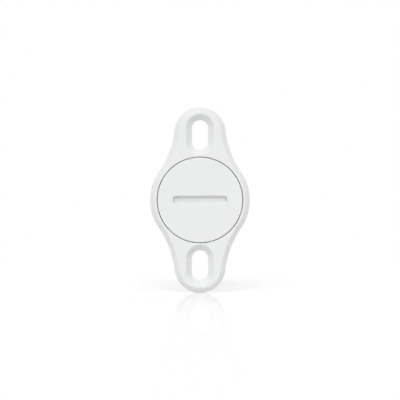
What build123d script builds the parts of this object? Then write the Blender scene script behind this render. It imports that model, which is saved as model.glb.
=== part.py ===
from build123d import *
from math import cos, pi, sin, sqrt
import os

# A recessed entry sensor: a plate that is screwed over a drilled hole, a tube behind it that
# holds a lithium cell and a circuit board, and a round battery cap that is turned with a coin.
# Millimetres. Z runs up the plate, X across it to the right, and Y into the hole. The origin is
# on the tube's axis, in the plate's back face. The room is on the side of negative Y.

# Clearances
TOUCH = 0.05            # air between faces that meet across a moving joint
GLUE_GAP = 0.05         # radial gap of parts that are bonded or pressed together
SEAT_GAP = 0.1          # gap round a part that lies in a pocket

# Lithium cell
CELL_D = 15.5
CELL_L = 27.0           # with the nub
CELL_DROP = 1.0         # how far the cell's axis lies below the tube's axis
CELL_PLAY = 0.2         # gap between the cell and its cradle
CELL_PASS = 0.15        # gap between the cell and the collar that it slides in through
NUB_D = 6.5
NUB_H = 1.0
WRAP_T = 0.1
INSULATOR_T = 0.2
INSULATOR_RIM = 1.0     # bare edge of the can outside the insulator
CAN_EDGE_R = 0.5

# Tube and its closed end
BARREL_WALL = 0.9
BARREL_CHAMFER = 0.4
RIB_COUNT = 6
RIB_W = 0.8
RIB_H = 0.15
RIB_L = 26.0
RIB_START = 10.0
END_T = 1.2
END_LIP = 2.0
END_LIP_WALL = 1.3
GATE_D = 5.0
GATE_DEEP = 0.3

# Step behind the plate that the tube is bonded to, and the collar inside the tube, with the
# two pegs that run in the cap's grooves
STEP_L = 0.5
COLLAR_WALL = 0.65
COLLAR_L = 5.5
LEDGE_W = 1.15          # width of the ledge that the seal closes on
LUG_D = 1.2
LUG_REACH = 0.6
LUG_GAP = 0.15
LUG_SET_BACK = 1.4      # from the ledge to the pegs' axis

# Plate
PLATE_T = 3.0
EDGE_W = 1.05           # bevel around the front, across the face
EDGE_DEEP = 0.9
EDGE_BLEND_R = 0.3      # rounding at both sides of the bevel
LOBE_RIM = 1.55         # plate left around the cap's opening
EAR_END_R = 5.95
EAR_RIM = 1.575         # plate left beyond each countersink
FLANK_R = 21.0          # hollow curve from the middle to each ear
SLOT_W = 3.8
SLOT_L = 6.95
SINK_W = 6.5
SINK_GAP = 0.325        # flat strip between the cap's opening and each countersink

# Battery cap
CAP_GAP = 0.15
CAP_EDGE_R = 0.15
HEAD_T = 1.6
COIN_L = 12.7
COIN_W = 1.95
COIN_DEEP = 1.0
COIN_CORNER_R = 0.8
COIN_EDGE_R = 0.08
SPIGOT_L = 4.8
SPIGOT_GAP = 0.15
THREAD_LEAD = 6.0
CAP_SEAT_WALL = 1.2     # spigot wall around the contact disc
CONTACT_LAP = 0.95      # width of the step that the contact disc lies on
CONTACT_T = 0.3
POST_D = 5.6
SEAL_T = 0.5
SEAL_GAP = 0.1          # radial gap at both edges of the seal

# Spring and plate at the cell's negative end
SPRING_L = 4.0
SPRING_WIRE = 0.5
SPRING_FRONT_D = 5.0    # middle of the wire
SPRING_BACK_D = 10.4
SPRING_TURNS = 3.5
NEGATIVE_D = 12.0
NEGATIVE_T = 0.3
NEGATIVE_TAB_W = 3.0

# Sled
SLED_GAP = 0.15
CRADLE_MOUTH = 5.6      # width of the cradle's open top
BULKHEAD_T = 1.5
REAR_BAY_L = 10.4
REAR_WALL = 1.0
BOARD_SIDE_GAP = 0.1
SCREW_POST_D = 3.0
SCREW_POST_SINK = 0.3   # how far the posts reach into the bulkhead
SCREW_POST_H = 5.0
SCREW_X = 2.6
PILOT_D = 1.1

# Board screws
SHANK_D = 1.0
SHANK_L = 3.2
HEAD_D = 2.4
HEAD_H = 0.6
DRIVE_W = 0.4
DRIVE_DEEP = 0.3
BOARD_HOLE_D = 1.4

# Circuit board
BOARD_GAP = 0.25        # between the cell and the board
BOARD_T = 0.8
BOARD_EDGE_GAP = 0.15   # between the board's upper edges and the tube
BOARD_SET_BACK = 0.25
BOARD_END_GAP = 0.3
NOTCH_GAP = 0.05
PART_GAP = 0.7          # clear board between neighbouring parts

# Positive leaf
LEAF_W = 2.2
LEAF_T = 0.2
LEAF_FOOT_L = 1.7
LEAF_TIP_H = 0.45
LEAF_CLEAR = 0.15       # above the cell
LEAF_OFF_EDGE = 0.2     # in front of the board

# Pairing switch and lamp, at the board's front edge
SWITCH_X = 2.6
SWITCH_W = 2.6
SWITCH_L = 3.0
SWITCH_H = 1.4
PLUNGER_W = 1.4
PLUNGER_H = 0.7
PLUNGER_GAP = 0.1
PLUNGER_OUT = 1.6
PLUNGER_IN = 0.5
PLUNGER_TRAVEL = 0.3
LED_X = -2.6
LED_W = 1.6
LED_L = 1.2
LED_H = 1.1
LED_RISE = 0.2          # its underside above the board's underside
LENS_R = 0.5

# Reed switch
REED_SET_BACK = 3.4
REED_L = 10.0
REED_D = 1.8
REED_WALL = 0.3
REED_LEAD_D = 0.44
REED_LEAD_L = 1.1
REED_LEAD_RISE = 0.03   # wire above the board
REED_SEAL_GAP = 0.02
BLADE_W = 0.8
BLADE_T = 0.12
BLADE_LAP = 1.0
BLADE_GAP = 0.06

# Other parts on the board
CHIP_W = 5.0
CHIP_H = 0.85
RADIO_W = 6.4
RADIO_L = 6.5
RADIO_H = 0.95
RADIO_EDGE_R = 0.3
CRYSTAL_W = 1.6
CRYSTAL_L = 2.0
CRYSTAL_H = 0.5
REGULATOR_W = 2.9
REGULATOR_L = 1.3
REGULATOR_H = 1.0
SMALL_W = 0.8
SMALL_L = 1.6
SMALL_H = 0.45
SMALL_X = 2.2           # the resistors beside the reed switch
SMALL_PITCH = 2.4
STORAGE_D = 6.3
STORAGE_L = 6.6
STORAGE_EDGE_R = 0.4
STORAGE_LEAD_D = 0.5
STORAGE_LEAD_PITCH = 2.5
STORAGE_LEAD_OUT = 0.6
STORAGE_AIR = 0.1
ANTENNA_WIRE = 0.6
ANTENNA_AIR = 0.3       # between the wire and the sled's wall
ANTENNA_BACK = 3.7      # in front of the sled's end
ANTENNA_SWEEP = 190.0

NEAR = 1e-4

# Radii about the tube's axis, from the cell outwards
cell_r = CELL_D / 2
collar_bore_r = cell_r + CELL_DROP + CELL_PASS
barrel_bore_r = collar_bore_r + COLLAR_WALL + GLUE_GAP
barrel_r = barrel_bore_r + BARREL_WALL
mouth_r = collar_bore_r + LEDGE_W
cap_r = mouth_r - CAP_GAP
spigot_r = collar_bore_r - SPIGOT_GAP
lug_tip_r = collar_bore_r - LUG_REACH
contact_seat_r = spigot_r - CAP_SEAT_WALL
contact_r = contact_seat_r - SEAT_GAP
sled_r = barrel_bore_r - SLED_GAP

# Outline of the plate
lobe_r = mouth_r + LOBE_RIM
sink_deep = (SINK_W - SLOT_W) / 2
sink_half_l = SLOT_L / 2 + sink_deep
screw_z = mouth_r + SINK_GAP + sink_half_l
plate_top_z = screw_z + sink_half_l + EAR_RIM

# Depths, from the room inwards
face_y = -PLATE_T
head_back_y = face_y + HEAD_T
ledge_y = head_back_y + SEAL_T + 2 * TOUCH
lug_y = ledge_y + LUG_SET_BACK
spigot_end_y = head_back_y + SPIGOT_L
nub_y = spigot_end_y + TOUCH
can_y = nub_y + NUB_H + INSULATOR_T
cell_end_y = nub_y + CELL_L
spring_y = cell_end_y + TOUCH
negative_y = spring_y + SPRING_L
bulkhead_y = negative_y + NEGATIVE_T
bay_y = bulkhead_y + BULKHEAD_T
sled_y = COLLAR_L + TOUCH
sled_end_y = bay_y + REAR_BAY_L
lip_y = sled_end_y + SEAT_GAP
end_y = lip_y + END_LIP
barrel_l = end_y + END_T
board_y = sled_y + BOARD_SET_BACK
board_end_y = sled_end_y - BOARD_END_GAP
screw_y = bay_y + SCREW_POST_D / 2 - SCREW_POST_SINK

# Heights and widths around the board
cell_top_z = cell_r - CELL_DROP
board_z = cell_top_z + BOARD_GAP
board_top_z = board_z + BOARD_T
board_half_w = sqrt((barrel_bore_r - BOARD_EDGE_GAP) ** 2 - board_top_z ** 2)
reed_z = board_top_z + REED_LEAD_RISE + REED_LEAD_D / 2
reed_y = board_y + REED_SET_BACK
chip_y = reed_y + REED_L + REED_LEAD_L + PART_GAP
radio_y = chip_y + CHIP_W + PART_GAP
regulator_y = screw_y + HEAD_D / 2 + PART_GAP
plunger_z = board_z + SWITCH_H / 2


def facing(y):
    """A drawing plane at depth y that faces the room: X to the right, Z up."""
    return Plane(origin=(0, y, 0), x_dir=(1, 0, 0), z_dir=(0, -1, 0))


def prism(outline, y0, y1):
    """An outline drawn in X and Z, carried from depth y0 to depth y1."""
    return extrude(facing(y1) * outline, y1 - y0)


def disc(r, y0, y1, x=0, z=0):
    """A round solid along Y."""
    return prism(Pos(x, z) * Circle(r), y0, y1)


def ring(r_out, r_in, y0, y1, z=0):
    """A round wall along Y."""
    return disc(r_out, y0, y1, z=z) - disc(r_in, y0, y1, z=z)


def block(x, y, z):
    """A box between two limits along each axis."""
    limits = (x, y, z)
    size = [high - low for low, high in limits]
    centre = [(high + low) / 2 for low, high in limits]
    return Pos(*centre) * Box(*size)


def across(centre, width):
    """The two limits of a width about a centre."""
    return (centre - width / 2, centre + width / 2)


def rims(solid, r, y):
    """The round edges of one radius at one depth."""
    circles = solid.edges().filter_by(GeomType.CIRCLE)
    return [e for e in circles if abs(e.radius - r) < NEAR and abs(e.arc_center.Y - y) < NEAR]


def front_edges(solid):
    """The edges around the face that is nearest to the room."""
    return solid.faces().sort_by(Axis.Y)[0].edges()


def arc_about(centre, start, end):
    """The shorter arc about a centre between two points of its circle."""
    middle = (start - centre + end - centre).normalized() * (start - centre).length
    return ThreePointArc(start, centre + middle, end)


def plate_outline():
    """A round middle and two round-ended ears, joined by four hollow flanks."""
    ear_z = plate_top_z - EAR_END_R
    to_lobe = lobe_r + FLANK_R
    to_ear = EAR_END_R + FLANK_R
    flank_z = (to_lobe ** 2 - to_ear ** 2 + ear_z ** 2) / (2 * ear_z)
    flank_x = sqrt(to_lobe ** 2 - flank_z ** 2)
    edges = []
    for up in (1, -1):
        ear = Vector(0, up * ear_z)
        ends = []
        for side in (1, -1):
            flank = Vector(side * flank_x, up * flank_z)
            on_lobe = flank * (lobe_r / to_lobe)
            on_ear = ear + (flank - ear) * (EAR_END_R / to_ear)
            edges.append(arc_about(flank, on_lobe, on_ear))
            ends.append(on_ear)
        edges.append(ThreePointArc(ends[0], (0, up * plate_top_z), ends[1]))
    for side in (1, -1):
        flank = Vector(side * flank_x, flank_z) * (lobe_r / to_lobe)
        edges.append(ThreePointArc((flank.X, -flank.Y), (side * lobe_r, 0), (flank.X, flank.Y)))
    return make_face(Curve() + edges)


def screw_slot(z):
    """One countersunk slot through the plate."""
    slot = SlotOverall(SLOT_L, SLOT_W, rotation=90)
    wide = SlotOverall(2 * sink_half_l, SINK_W, rotation=90)
    sink = loft([facing(face_y) * Pos(0, z) * wide, facing(face_y + sink_deep) * Pos(0, z) * slot])
    return sink + prism(Pos(0, z) * slot, face_y, 0)


def bevelled_plate():
    """The plate without its openings, with a softened bevel around its front."""
    plate = prism(plate_outline(), face_y, 0)
    front = plate.faces().sort_by(Axis.Y)[0]
    plate = chamfer(front.edges(), EDGE_W, EDGE_DEEP, reference=front)
    bevel_y = (face_y, face_y + EDGE_DEEP)
    borders = [e for e in plate.edges() if any(abs(e.center().Y - y) < NEAR for y in bevel_y)]
    return fillet([e for e in borders if abs((e % 0).Y) < NEAR], EDGE_BLEND_R)


def make_faceplate():
    plate = bevelled_plate()
    plate += disc(barrel_r, 0, STEP_L) + disc(collar_bore_r + COLLAR_WALL, 0, COLLAR_L)
    plate -= disc(mouth_r, face_y, ledge_y) + disc(collar_bore_r, face_y, COLLAR_L)
    plate = fillet(rims(plate, mouth_r, face_y), CAP_EDGE_R)
    for up in (1, -1):
        plate -= screw_slot(up * screw_z)
    lug_l = LUG_REACH + COLLAR_WALL / 2
    for side in (1, -1):
        lug = Pos(side * (lug_tip_r + lug_l / 2), lug_y, 0) * Rot(0, 90, 0)
        plate += lug * Cylinder(LUG_D / 2, lug_l)
    return plate


def cap_groove():
    """The groove that one peg runs in: a round pocket, then a right-hand turn to the back."""
    floor_r = lug_tip_r - LUG_GAP
    width = LUG_D + 2 * LUG_GAP
    rise = spigot_end_y - lug_y + width
    depth = 2 * (spigot_r - floor_r)
    turn = Plane(origin=(0, lug_y, 0), x_dir=(1, 0, 0), z_dir=(0, 1, 0))
    path = turn * Helix(THREAD_LEAD, rise, spigot_r)
    section = Plane(origin=path @ 0, x_dir=(1, 0, 0), z_dir=path % 0) * Rectangle(depth, width)
    pocket = Pos(spigot_r, lug_y, 0) * Rot(0, 90, 0) * Cylinder(width / 2, depth)
    return sweep(section, path, is_frenet=True) + pocket


def make_battery_cap():
    cap = disc(cap_r, face_y, head_back_y)
    cap = fillet(front_edges(cap), CAP_EDGE_R)
    corner_r = min(COIN_CORNER_R, COIN_W / 2 - TOUCH)
    cap -= prism(RectangleRounded(COIN_L, COIN_W, corner_r), face_y, face_y + COIN_DEEP)
    coin_rim = cap.faces().sort_by(Axis.Y)[0].inner_wires()[0]
    cap = fillet(coin_rim.edges(), COIN_EDGE_R)
    cap += disc(spigot_r, head_back_y, spigot_end_y)
    contact_y = spigot_end_y - CONTACT_T
    cap -= disc(contact_seat_r, contact_y, spigot_end_y)
    cap -= ring(contact_seat_r - CONTACT_LAP, POST_D / 2, head_back_y, contact_y)
    for start in (0, 180):
        cap -= Rot(0, start, 0) * cap_groove()
    return cap


def make_cap_seal():
    return ring(mouth_r - SEAL_GAP, spigot_r + SEAL_GAP, head_back_y + TOUCH, ledge_y - TOUCH)


def make_cap_contact():
    return disc(contact_r, spigot_end_y - CONTACT_T, spigot_end_y)


def make_battery_can():
    can = disc(cell_r - WRAP_T - GLUE_GAP, can_y, cell_end_y, z=-CELL_DROP)
    return fillet(can.edges().filter_by(GeomType.CIRCLE), CAN_EDGE_R)


def make_battery_sleeve():
    return ring(cell_r, cell_r - WRAP_T, can_y + CAN_EDGE_R, cell_end_y - CAN_EDGE_R, z=-CELL_DROP)


def make_battery_insulator():
    edge = cell_r - INSULATOR_RIM
    return ring(edge, NUB_D / 2 + SEAT_GAP, can_y - INSULATOR_T, can_y, z=-CELL_DROP)


def make_battery_nub():
    return disc(NUB_D / 2, nub_y, can_y, z=-CELL_DROP)


def spring_point(turns, y0, y1):
    """A point of the conical spring's middle line, and its direction there."""
    share = turns / SPRING_TURNS
    step = (SPRING_BACK_D - SPRING_FRONT_D) / 2
    r = SPRING_FRONT_D / 2 + step * share
    angle = 2 * pi * turns
    point = Vector(r * cos(angle), y0 + (y1 - y0) * share, r * sin(angle) - CELL_DROP)
    swing = 2 * pi * SPRING_TURNS * r
    way = Vector(step * cos(angle) - swing * sin(angle), y1 - y0, step * sin(angle) + swing * cos(angle))
    return point, way.normalized()


def two_arcs(p0, t0, p1, t1):
    """Two arcs that leave p0 along t0, meet smoothly and reach p1 along t1."""
    chord = p1 - p0
    both = t0 + t1
    a = 2 * (1 - t0.dot(t1))
    b = 2 * chord.dot(both)
    reach = (sqrt(b * b + 4 * a * chord.dot(chord)) - b) / (2 * a)
    joint = (p0 + p1 + (t0 - t1) * reach) * 0.5
    along = (p1 - t1 * reach) - (p0 + t0 * reach)
    return [TangentArc(p0, joint, tangent=t0), TangentArc(joint, p1, tangent=along.normalized())]


def make_negative_spring():
    half = SPRING_WIRE / 2
    steps = round(SPRING_TURNS * 4)
    stops = [spring_point(n / 4, spring_y + half, negative_y - half) for n in range(steps + 1)]
    arcs = []
    for (p0, t0), (p1, t1) in zip(stops, stops[1:]):
        arcs += two_arcs(p0, t0, p1, t1)
    wire = Wire([arc.edge() for arc in arcs])
    section = Plane(origin=wire @ 0, z_dir=wire % 0) * Circle(half)
    report_spring_gap()
    return sweep(section, wire)


def report_spring_gap():
    """Prints the least air between neighbouring turns, from points along the wire."""
    fine = 72
    half = SPRING_WIRE / 2
    count = round(SPRING_TURNS * fine)
    points = [spring_point(n / fine, spring_y + half, negative_y - half)[0] for n in range(count + 1)]
    far = fine // 2
    pairs = [(p - q).length for n, p in enumerate(points) for q in points[n + far:]]
    print("spring: least gap between turns", round(min(pairs) - SPRING_WIRE, 3), "mm")


def make_negative_plate():
    plate = disc(NEGATIVE_D / 2, negative_y, bulkhead_y, z=-CELL_DROP)
    tab = block(across(0, NEGATIVE_TAB_W), (negative_y, bulkhead_y), (-CELL_DROP, board_z))
    return plate + tab


def sled_section(bore, bore_z):
    """The sled's cross-section: a round tray, open at the top, with lips beside the board."""
    tray = Circle(sled_r) - Pos(0, bore_z) * Circle(bore)
    deck = Pos(0, board_z + sled_r / 2) * Rectangle(2 * (board_half_w + BOARD_SIDE_GAP), sled_r)
    mouth = Pos(0, sled_r / 2) * Rectangle(CRADLE_MOUTH, sled_r)
    return tray - deck - mouth


def screw_post(x):
    """A post on the bulkhead's back for one board screw."""
    z = (board_z - SCREW_POST_H, board_z)
    post = Pos(x, screw_y, board_z - SCREW_POST_H / 2) * Cylinder(SCREW_POST_D / 2, SCREW_POST_H)
    web = block(across(x, SCREW_POST_D / 2), (bay_y, screw_y), z)
    pilot = Pos(x, screw_y, board_z - SHANK_L / 2) * Cylinder(PILOT_D / 2, SHANK_L)
    return post + web - pilot


def make_sled():
    sled = prism(sled_section(cell_r + CELL_PLAY, -CELL_DROP), sled_y, bulkhead_y)
    deck = Pos(0, board_z + sled_r / 2) * Rectangle(2 * (board_half_w + BOARD_SIDE_GAP), sled_r)
    sled += prism(Circle(sled_r) - deck, bulkhead_y, bay_y)
    sled += prism(sled_section(sled_r - REAR_WALL, 0), bay_y, sled_end_y)
    for x in (SCREW_X, -SCREW_X):
        sled += screw_post(x)
    return sled


def make_board_screws():
    screws = []
    for x in (SCREW_X, -SCREW_X):
        shank = Pos(x, screw_y, board_top_z - SHANK_L / 2) * Cylinder(SHANK_D / 2, SHANK_L)
        head = Pos(x, screw_y, board_top_z + HEAD_H / 2) * Cylinder(HEAD_D / 2, HEAD_H)
        top_z = board_top_z + HEAD_H
        drive = block(across(x, HEAD_D), across(screw_y, DRIVE_W), (top_z - DRIVE_DEEP, top_z))
        screws.append(shank + head - drive)
    return Part() + screws


def make_main_board():
    z = (board_z, board_top_z)
    board = block((-board_half_w, board_half_w), (board_y, board_end_y), z)
    for x, w, length in ((SWITCH_X, SWITCH_W, SWITCH_L), (LED_X, LED_W, LED_L)):
        board -= block(across(x, w + 2 * NOTCH_GAP), (board_y, board_y + length + NOTCH_GAP), z)
    window_w = REED_D + 2 * SEAT_GAP
    board -= block(across(0, window_w), (reed_y - SEAT_GAP, reed_y + REED_L + SEAT_GAP), z)
    for x in (SCREW_X, -SCREW_X):
        board -= Pos(x, screw_y, (board_z + board_top_z) / 2) * Cylinder(BOARD_HOLE_D / 2, BOARD_T)
    return board


def make_positive_leaf():
    x = across(0, LEAF_W)
    drop_y = board_y - LEAF_OFF_EDGE
    low_z = cell_top_z + LEAF_CLEAR
    high_z = board_top_z + LEAF_T
    foot = block(x, (drop_y - LEAF_T, board_y + LEAF_FOOT_L), (board_top_z, high_z))
    drop = block(x, (drop_y - LEAF_T, drop_y), (low_z, high_z))
    run = block(x, (nub_y, drop_y), (low_z, low_z + LEAF_T))
    tip = block(x, (nub_y, nub_y + LEAF_T), (low_z, low_z + LEAF_TIP_H))
    return foot + drop + run + tip


def make_switch_housing():
    housing = block(across(SWITCH_X, SWITCH_W), (board_y, board_y + SWITCH_L), (board_z, board_z + SWITCH_H))
    bore_l = PLUNGER_IN + PLUNGER_TRAVEL + PLUNGER_GAP
    bore = block(
        across(SWITCH_X, PLUNGER_W + 2 * PLUNGER_GAP),
        (board_y, board_y + bore_l),
        across(plunger_z, PLUNGER_H + 2 * PLUNGER_GAP),
    )
    return housing - bore


def make_switch_plunger():
    y = (board_y - PLUNGER_OUT, board_y + PLUNGER_IN)
    return block(across(SWITCH_X, PLUNGER_W), y, across(plunger_z, PLUNGER_H))


def make_status_led():
    low_z = board_z + LED_RISE
    body = block(across(LED_X, LED_W), (board_y, board_y + LED_L), (low_z, low_z + LED_H))
    return body + Pos(LED_X, board_y, low_z + LED_H / 2) * Sphere(LENS_R)


def make_reed_glass():
    end_y1 = reed_y + REED_L
    glass = disc(REED_D / 2, reed_y, end_y1, z=reed_z)
    glass = fillet(glass.edges().filter_by(GeomType.CIRCLE), REED_WALL)
    glass -= disc(REED_D / 2 - REED_WALL, reed_y + REED_WALL * 2, end_y1 - REED_WALL * 2, z=reed_z)
    return glass - disc(REED_LEAD_D / 2 + REED_SEAL_GAP, reed_y, end_y1, z=reed_z)


def make_reed_blades():
    """Two wires, each with a flat blade inside the glass, that lap without touching."""
    middle_y = reed_y + REED_L / 2
    flat_from = REED_WALL * 3
    rise = (BLADE_GAP + BLADE_T) / 2
    blades = []
    for way in (-1, 1):
        outer_y = middle_y + way * (REED_L / 2 + REED_LEAD_L)
        inner_y = middle_y + way * (REED_L / 2 - flat_from)
        tip_y = middle_y - way * BLADE_LAP / 2
        wire = disc(REED_LEAD_D / 2, *sorted((outer_y, inner_y)), z=reed_z)
        flat = block(across(0, BLADE_W), sorted((inner_y, tip_y)), across(reed_z + way * rise, BLADE_T))
        blades.append(wire + flat)
    return Part() + blades


def on_board(x, y, z_size):
    """A box-shaped part that stands on the board's upper face."""
    return block(x, y, (board_top_z, board_top_z + z_size))


def make_controller_chip():
    return on_board(across(0, CHIP_W), (chip_y, chip_y + CHIP_W), CHIP_H)


def make_radio_shield():
    shield = on_board(across(0, RADIO_W), (radio_y, radio_y + RADIO_L), RADIO_H)
    return fillet(shield.faces().sort_by(Axis.Z)[-1].edges(), RADIO_EDGE_R)


def make_voltage_regulator():
    return on_board(across(0, REGULATOR_W), (regulator_y, regulator_y + REGULATOR_L), REGULATOR_H)


def small_x():
    """The middle of the narrow strip of board beside the controller."""
    return (CHIP_W / 2 + board_half_w) / 2


def make_crystal():
    y = (chip_y, chip_y + CRYSTAL_L)
    return on_board(across(-small_x(), CRYSTAL_W), y, CRYSTAL_H)


def make_chip_capacitors():
    """Three in a row beside the controller, and one behind the crystal."""
    parts = []
    for n in range(3):
        y = (chip_y + n * SMALL_PITCH - SMALL_L / 2, chip_y + n * SMALL_PITCH + SMALL_L / 2)
        parts.append(on_board(across(small_x(), SMALL_W), y, SMALL_H))
    y = chip_y + CRYSTAL_L + PART_GAP
    parts.append(on_board(across(-small_x(), SMALL_W), (y, y + SMALL_L), SMALL_H))
    return Part() + parts


def make_chip_resistors():
    """Two rows of three beside the reed switch."""
    parts = []
    for side in (1, -1):
        for n in range(3):
            y = reed_y + REED_L / 2 + (n - 1) * SMALL_PITCH
            parts.append(on_board(across(side * SMALL_X, SMALL_W), across(y, SMALL_L), SMALL_H))
    return Part() + parts


def make_storage_capacitor():
    """A round capacitor that lies under the board, with both leads bent up to it."""
    z = board_z - STORAGE_AIR - STORAGE_D / 2
    y0 = screw_y + SCREW_POST_D / 2 + STORAGE_LEAD_OUT
    can = disc(STORAGE_D / 2, y0, y0 + STORAGE_L, z=z)
    can = fillet(can.edges().filter_by(GeomType.CIRCLE), STORAGE_EDGE_R)
    r = STORAGE_LEAD_D / 2
    for side in (1, -1):
        x = side * STORAGE_LEAD_PITCH / 2
        can += disc(r, y0 - STORAGE_LEAD_OUT + r, y0 + STORAGE_EDGE_R, x=x, z=z)
        rise = board_z - z
        can += Pos(x, y0 - STORAGE_LEAD_OUT + r, z + rise / 2) * Cylinder(r, rise)
    return can


def make_antenna_wire():
    """A bare wire that follows the sled's wall round from the board, cut square at the board."""
    r = sled_r - REAR_WALL - ANTENNA_AIR - ANTENNA_WIRE / 2
    y = sled_end_y - ANTENNA_BACK
    path = facing(y) * CenterArc((0, 0), r, 90, ANTENNA_SWEEP)
    section = Plane(origin=path @ 0, z_dir=path % 0) * Circle(ANTENNA_WIRE / 2)
    above = block((-r, r), across(y, 2 * ANTENNA_WIRE), (board_z, board_z + sled_r))
    return sweep(section, path) - above


def make_barrel():
    tube = disc(barrel_r, STEP_L, barrel_l)
    tube = chamfer(tube.faces().sort_by(Axis.Y)[-1].edges(), BARREL_CHAMFER)
    rib = block(across(0, RIB_W), (RIB_START, RIB_START + RIB_L), (barrel_bore_r, barrel_r + RIB_H))
    for n in range(RIB_COUNT):
        tube += Rot(0, 360 * (n + 0.5) / RIB_COUNT, 0) * rib
    return tube - disc(barrel_bore_r, STEP_L, barrel_l)


def make_end_cap():
    plug_r = barrel_bore_r - GLUE_GAP
    cap = disc(plug_r, end_y, barrel_l) + ring(plug_r, plug_r - END_LIP_WALL, lip_y, end_y)
    return cap - disc(GATE_D / 2, barrel_l - GATE_DEEP, barrel_l)


MAKERS = {
    "faceplate": make_faceplate,
    "barrel": make_barrel,
    "end_cap": make_end_cap,
    "sled": make_sled,
    "main_board": make_main_board,
    "board_screws": make_board_screws,
    "positive_leaf": make_positive_leaf,
    "negative_plate": make_negative_plate,
    "negative_spring": make_negative_spring,
    "switch_housing": make_switch_housing,
    "switch_plunger": make_switch_plunger,
    "status_led": make_status_led,
    "reed_glass": make_reed_glass,
    "reed_blades": make_reed_blades,
    "controller_chip": make_controller_chip,
    "radio_shield": make_radio_shield,
    "antenna_wire": make_antenna_wire,
    "crystal": make_crystal,
    "voltage_regulator": make_voltage_regulator,
    "storage_capacitor": make_storage_capacitor,
    "chip_capacitors": make_chip_capacitors,
    "chip_resistors": make_chip_resistors,
    "battery_cap": make_battery_cap,
    "cap_contact": make_cap_contact,
    "cap_seal": make_cap_seal,
    "battery_can": make_battery_can,
    "battery_sleeve": make_battery_sleeve,
    "battery_insulator": make_battery_insulator,
    "battery_nub": make_battery_nub,
}

os.makedirs("parts", exist_ok=True)
for name, maker in MAKERS.items():
    solid = maker()
    solid.label = name
    export_step(solid, f"parts/{name}.step")
print("tube", 2 * barrel_r, "by", barrel_l, "mm; screws", 2 * screw_z, "mm apart")
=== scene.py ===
import functools
import math

import bpy
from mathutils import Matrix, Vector


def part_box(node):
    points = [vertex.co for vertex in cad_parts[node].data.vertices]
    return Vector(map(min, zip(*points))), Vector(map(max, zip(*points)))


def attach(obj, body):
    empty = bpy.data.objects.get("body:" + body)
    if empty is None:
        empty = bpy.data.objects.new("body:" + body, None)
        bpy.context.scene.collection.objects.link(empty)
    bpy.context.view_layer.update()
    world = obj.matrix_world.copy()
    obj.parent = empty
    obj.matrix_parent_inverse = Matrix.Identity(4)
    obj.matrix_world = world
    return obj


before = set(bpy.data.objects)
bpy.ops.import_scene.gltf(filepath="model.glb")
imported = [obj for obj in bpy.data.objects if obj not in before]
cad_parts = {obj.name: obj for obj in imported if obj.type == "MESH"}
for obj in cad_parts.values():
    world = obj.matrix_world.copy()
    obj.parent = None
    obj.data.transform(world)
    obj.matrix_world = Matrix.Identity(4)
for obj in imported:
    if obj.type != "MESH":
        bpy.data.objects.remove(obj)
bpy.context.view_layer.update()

bl_info = {
    "name": "Recessed entry sensor",
    "version": (1, 0, 0),
    "blender": (4, 5, 0),
    "location": "3D View > Sidebar > Entry Sensor",
    "description": "Finishes a recessed door sensor and sets it on a white table",
    "category": "Object",
}

MM = 0.001

# The axes that count on a face that looks along Y, and on one that looks along Z
FACING_Y = (1, 0, 1)
FACING_Z = (1, 1, 0)
MARK_EDGE = 0.08 * MM  # how soft the edge of a round mark is
NOISE_SPAN = (0.3, 0.7)  # soft noise hardly leaves it

# Places that the finishes and the small added pieces are measured from
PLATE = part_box("faceplate")
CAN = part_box("battery_can")
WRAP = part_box("battery_sleeve")
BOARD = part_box("main_board")
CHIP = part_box("controller_chip")
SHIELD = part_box("radio_shield")
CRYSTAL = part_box("crystal")
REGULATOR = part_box("voltage_regulator")
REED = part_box("reed_glass")
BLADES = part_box("reed_blades")
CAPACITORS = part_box("chip_capacitors")
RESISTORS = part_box("chip_resistors")
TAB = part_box("negative_plate")
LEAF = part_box("positive_leaf")
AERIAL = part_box("antenna_wire")
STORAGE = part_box("storage_capacitor")

# The small chip parts lie along the board, one row pitch apart
ROW_PITCH = 2.4 * MM
CHIP_PART = Vector((0.8, 1.6, 0.45)) * MM


def colour_setting(name, description, default):
    """A colour in the sidebar."""
    return bpy.props.FloatVectorProperty(
        name=name, description=description, default=default,
        subtype="COLOR", size=3, min=0.0, max=1.0)


def factor_setting(name, description, default):
    """A share from 0 to 1 in the sidebar."""
    return bpy.props.FloatProperty(
        name=name, description=description, default=default,
        subtype="FACTOR", min=0.0, max=1.0)


def length_setting(name, description, default):
    """A length in the sidebar, in metres."""
    return bpy.props.FloatProperty(
        name=name, description=description, default=default,
        unit="LENGTH", min=0.0, precision=6)


def lamp_setting(name, description, default):
    """The brightness of a lamp in the sidebar."""
    return bpy.props.FloatProperty(name=name, description=description, default=default, min=0.0)


class SensorShellSettings(bpy.types.PropertyGroup):
    """Finish of the white mouldings that show, and of the seal."""
    white: colour_setting("White", "Colour of the plate, cap and tube", (0.845, 0.86, 0.85))
    roughness: factor_setting("Roughness", "How matt the white plastic is", 0.38)
    grain: length_setting("Grain size", "Size of the fine grain of the mould", 0.14 * MM)
    grain_height: length_setting("Grain height", "Depth of that grain", 0.0016 * MM)
    seal: colour_setting("Seal", "Colour of the rubber ring", (0.05, 0.05, 0.055))


class SensorCellSettings(bpy.types.PropertyGroup):
    """Finish of the lithium cell and of the metal that touches it."""
    wrap: colour_setting("Wrap", "Colour of the shrink film", (0.02, 0.055, 0.16))
    band: colour_setting("Band", "Colour of the plain band on the film", (0.42, 0.43, 0.44))
    can: colour_setting("Can", "Colour of the plated can", (0.6, 0.6, 0.58))
    nickel: colour_setting("Nickel", "Colour of the plated contacts", (0.62, 0.59, 0.53))
    lip: length_setting("Wrap lip", "How far the film shrinks in over the can's ends", 0.35 * MM)


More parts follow.
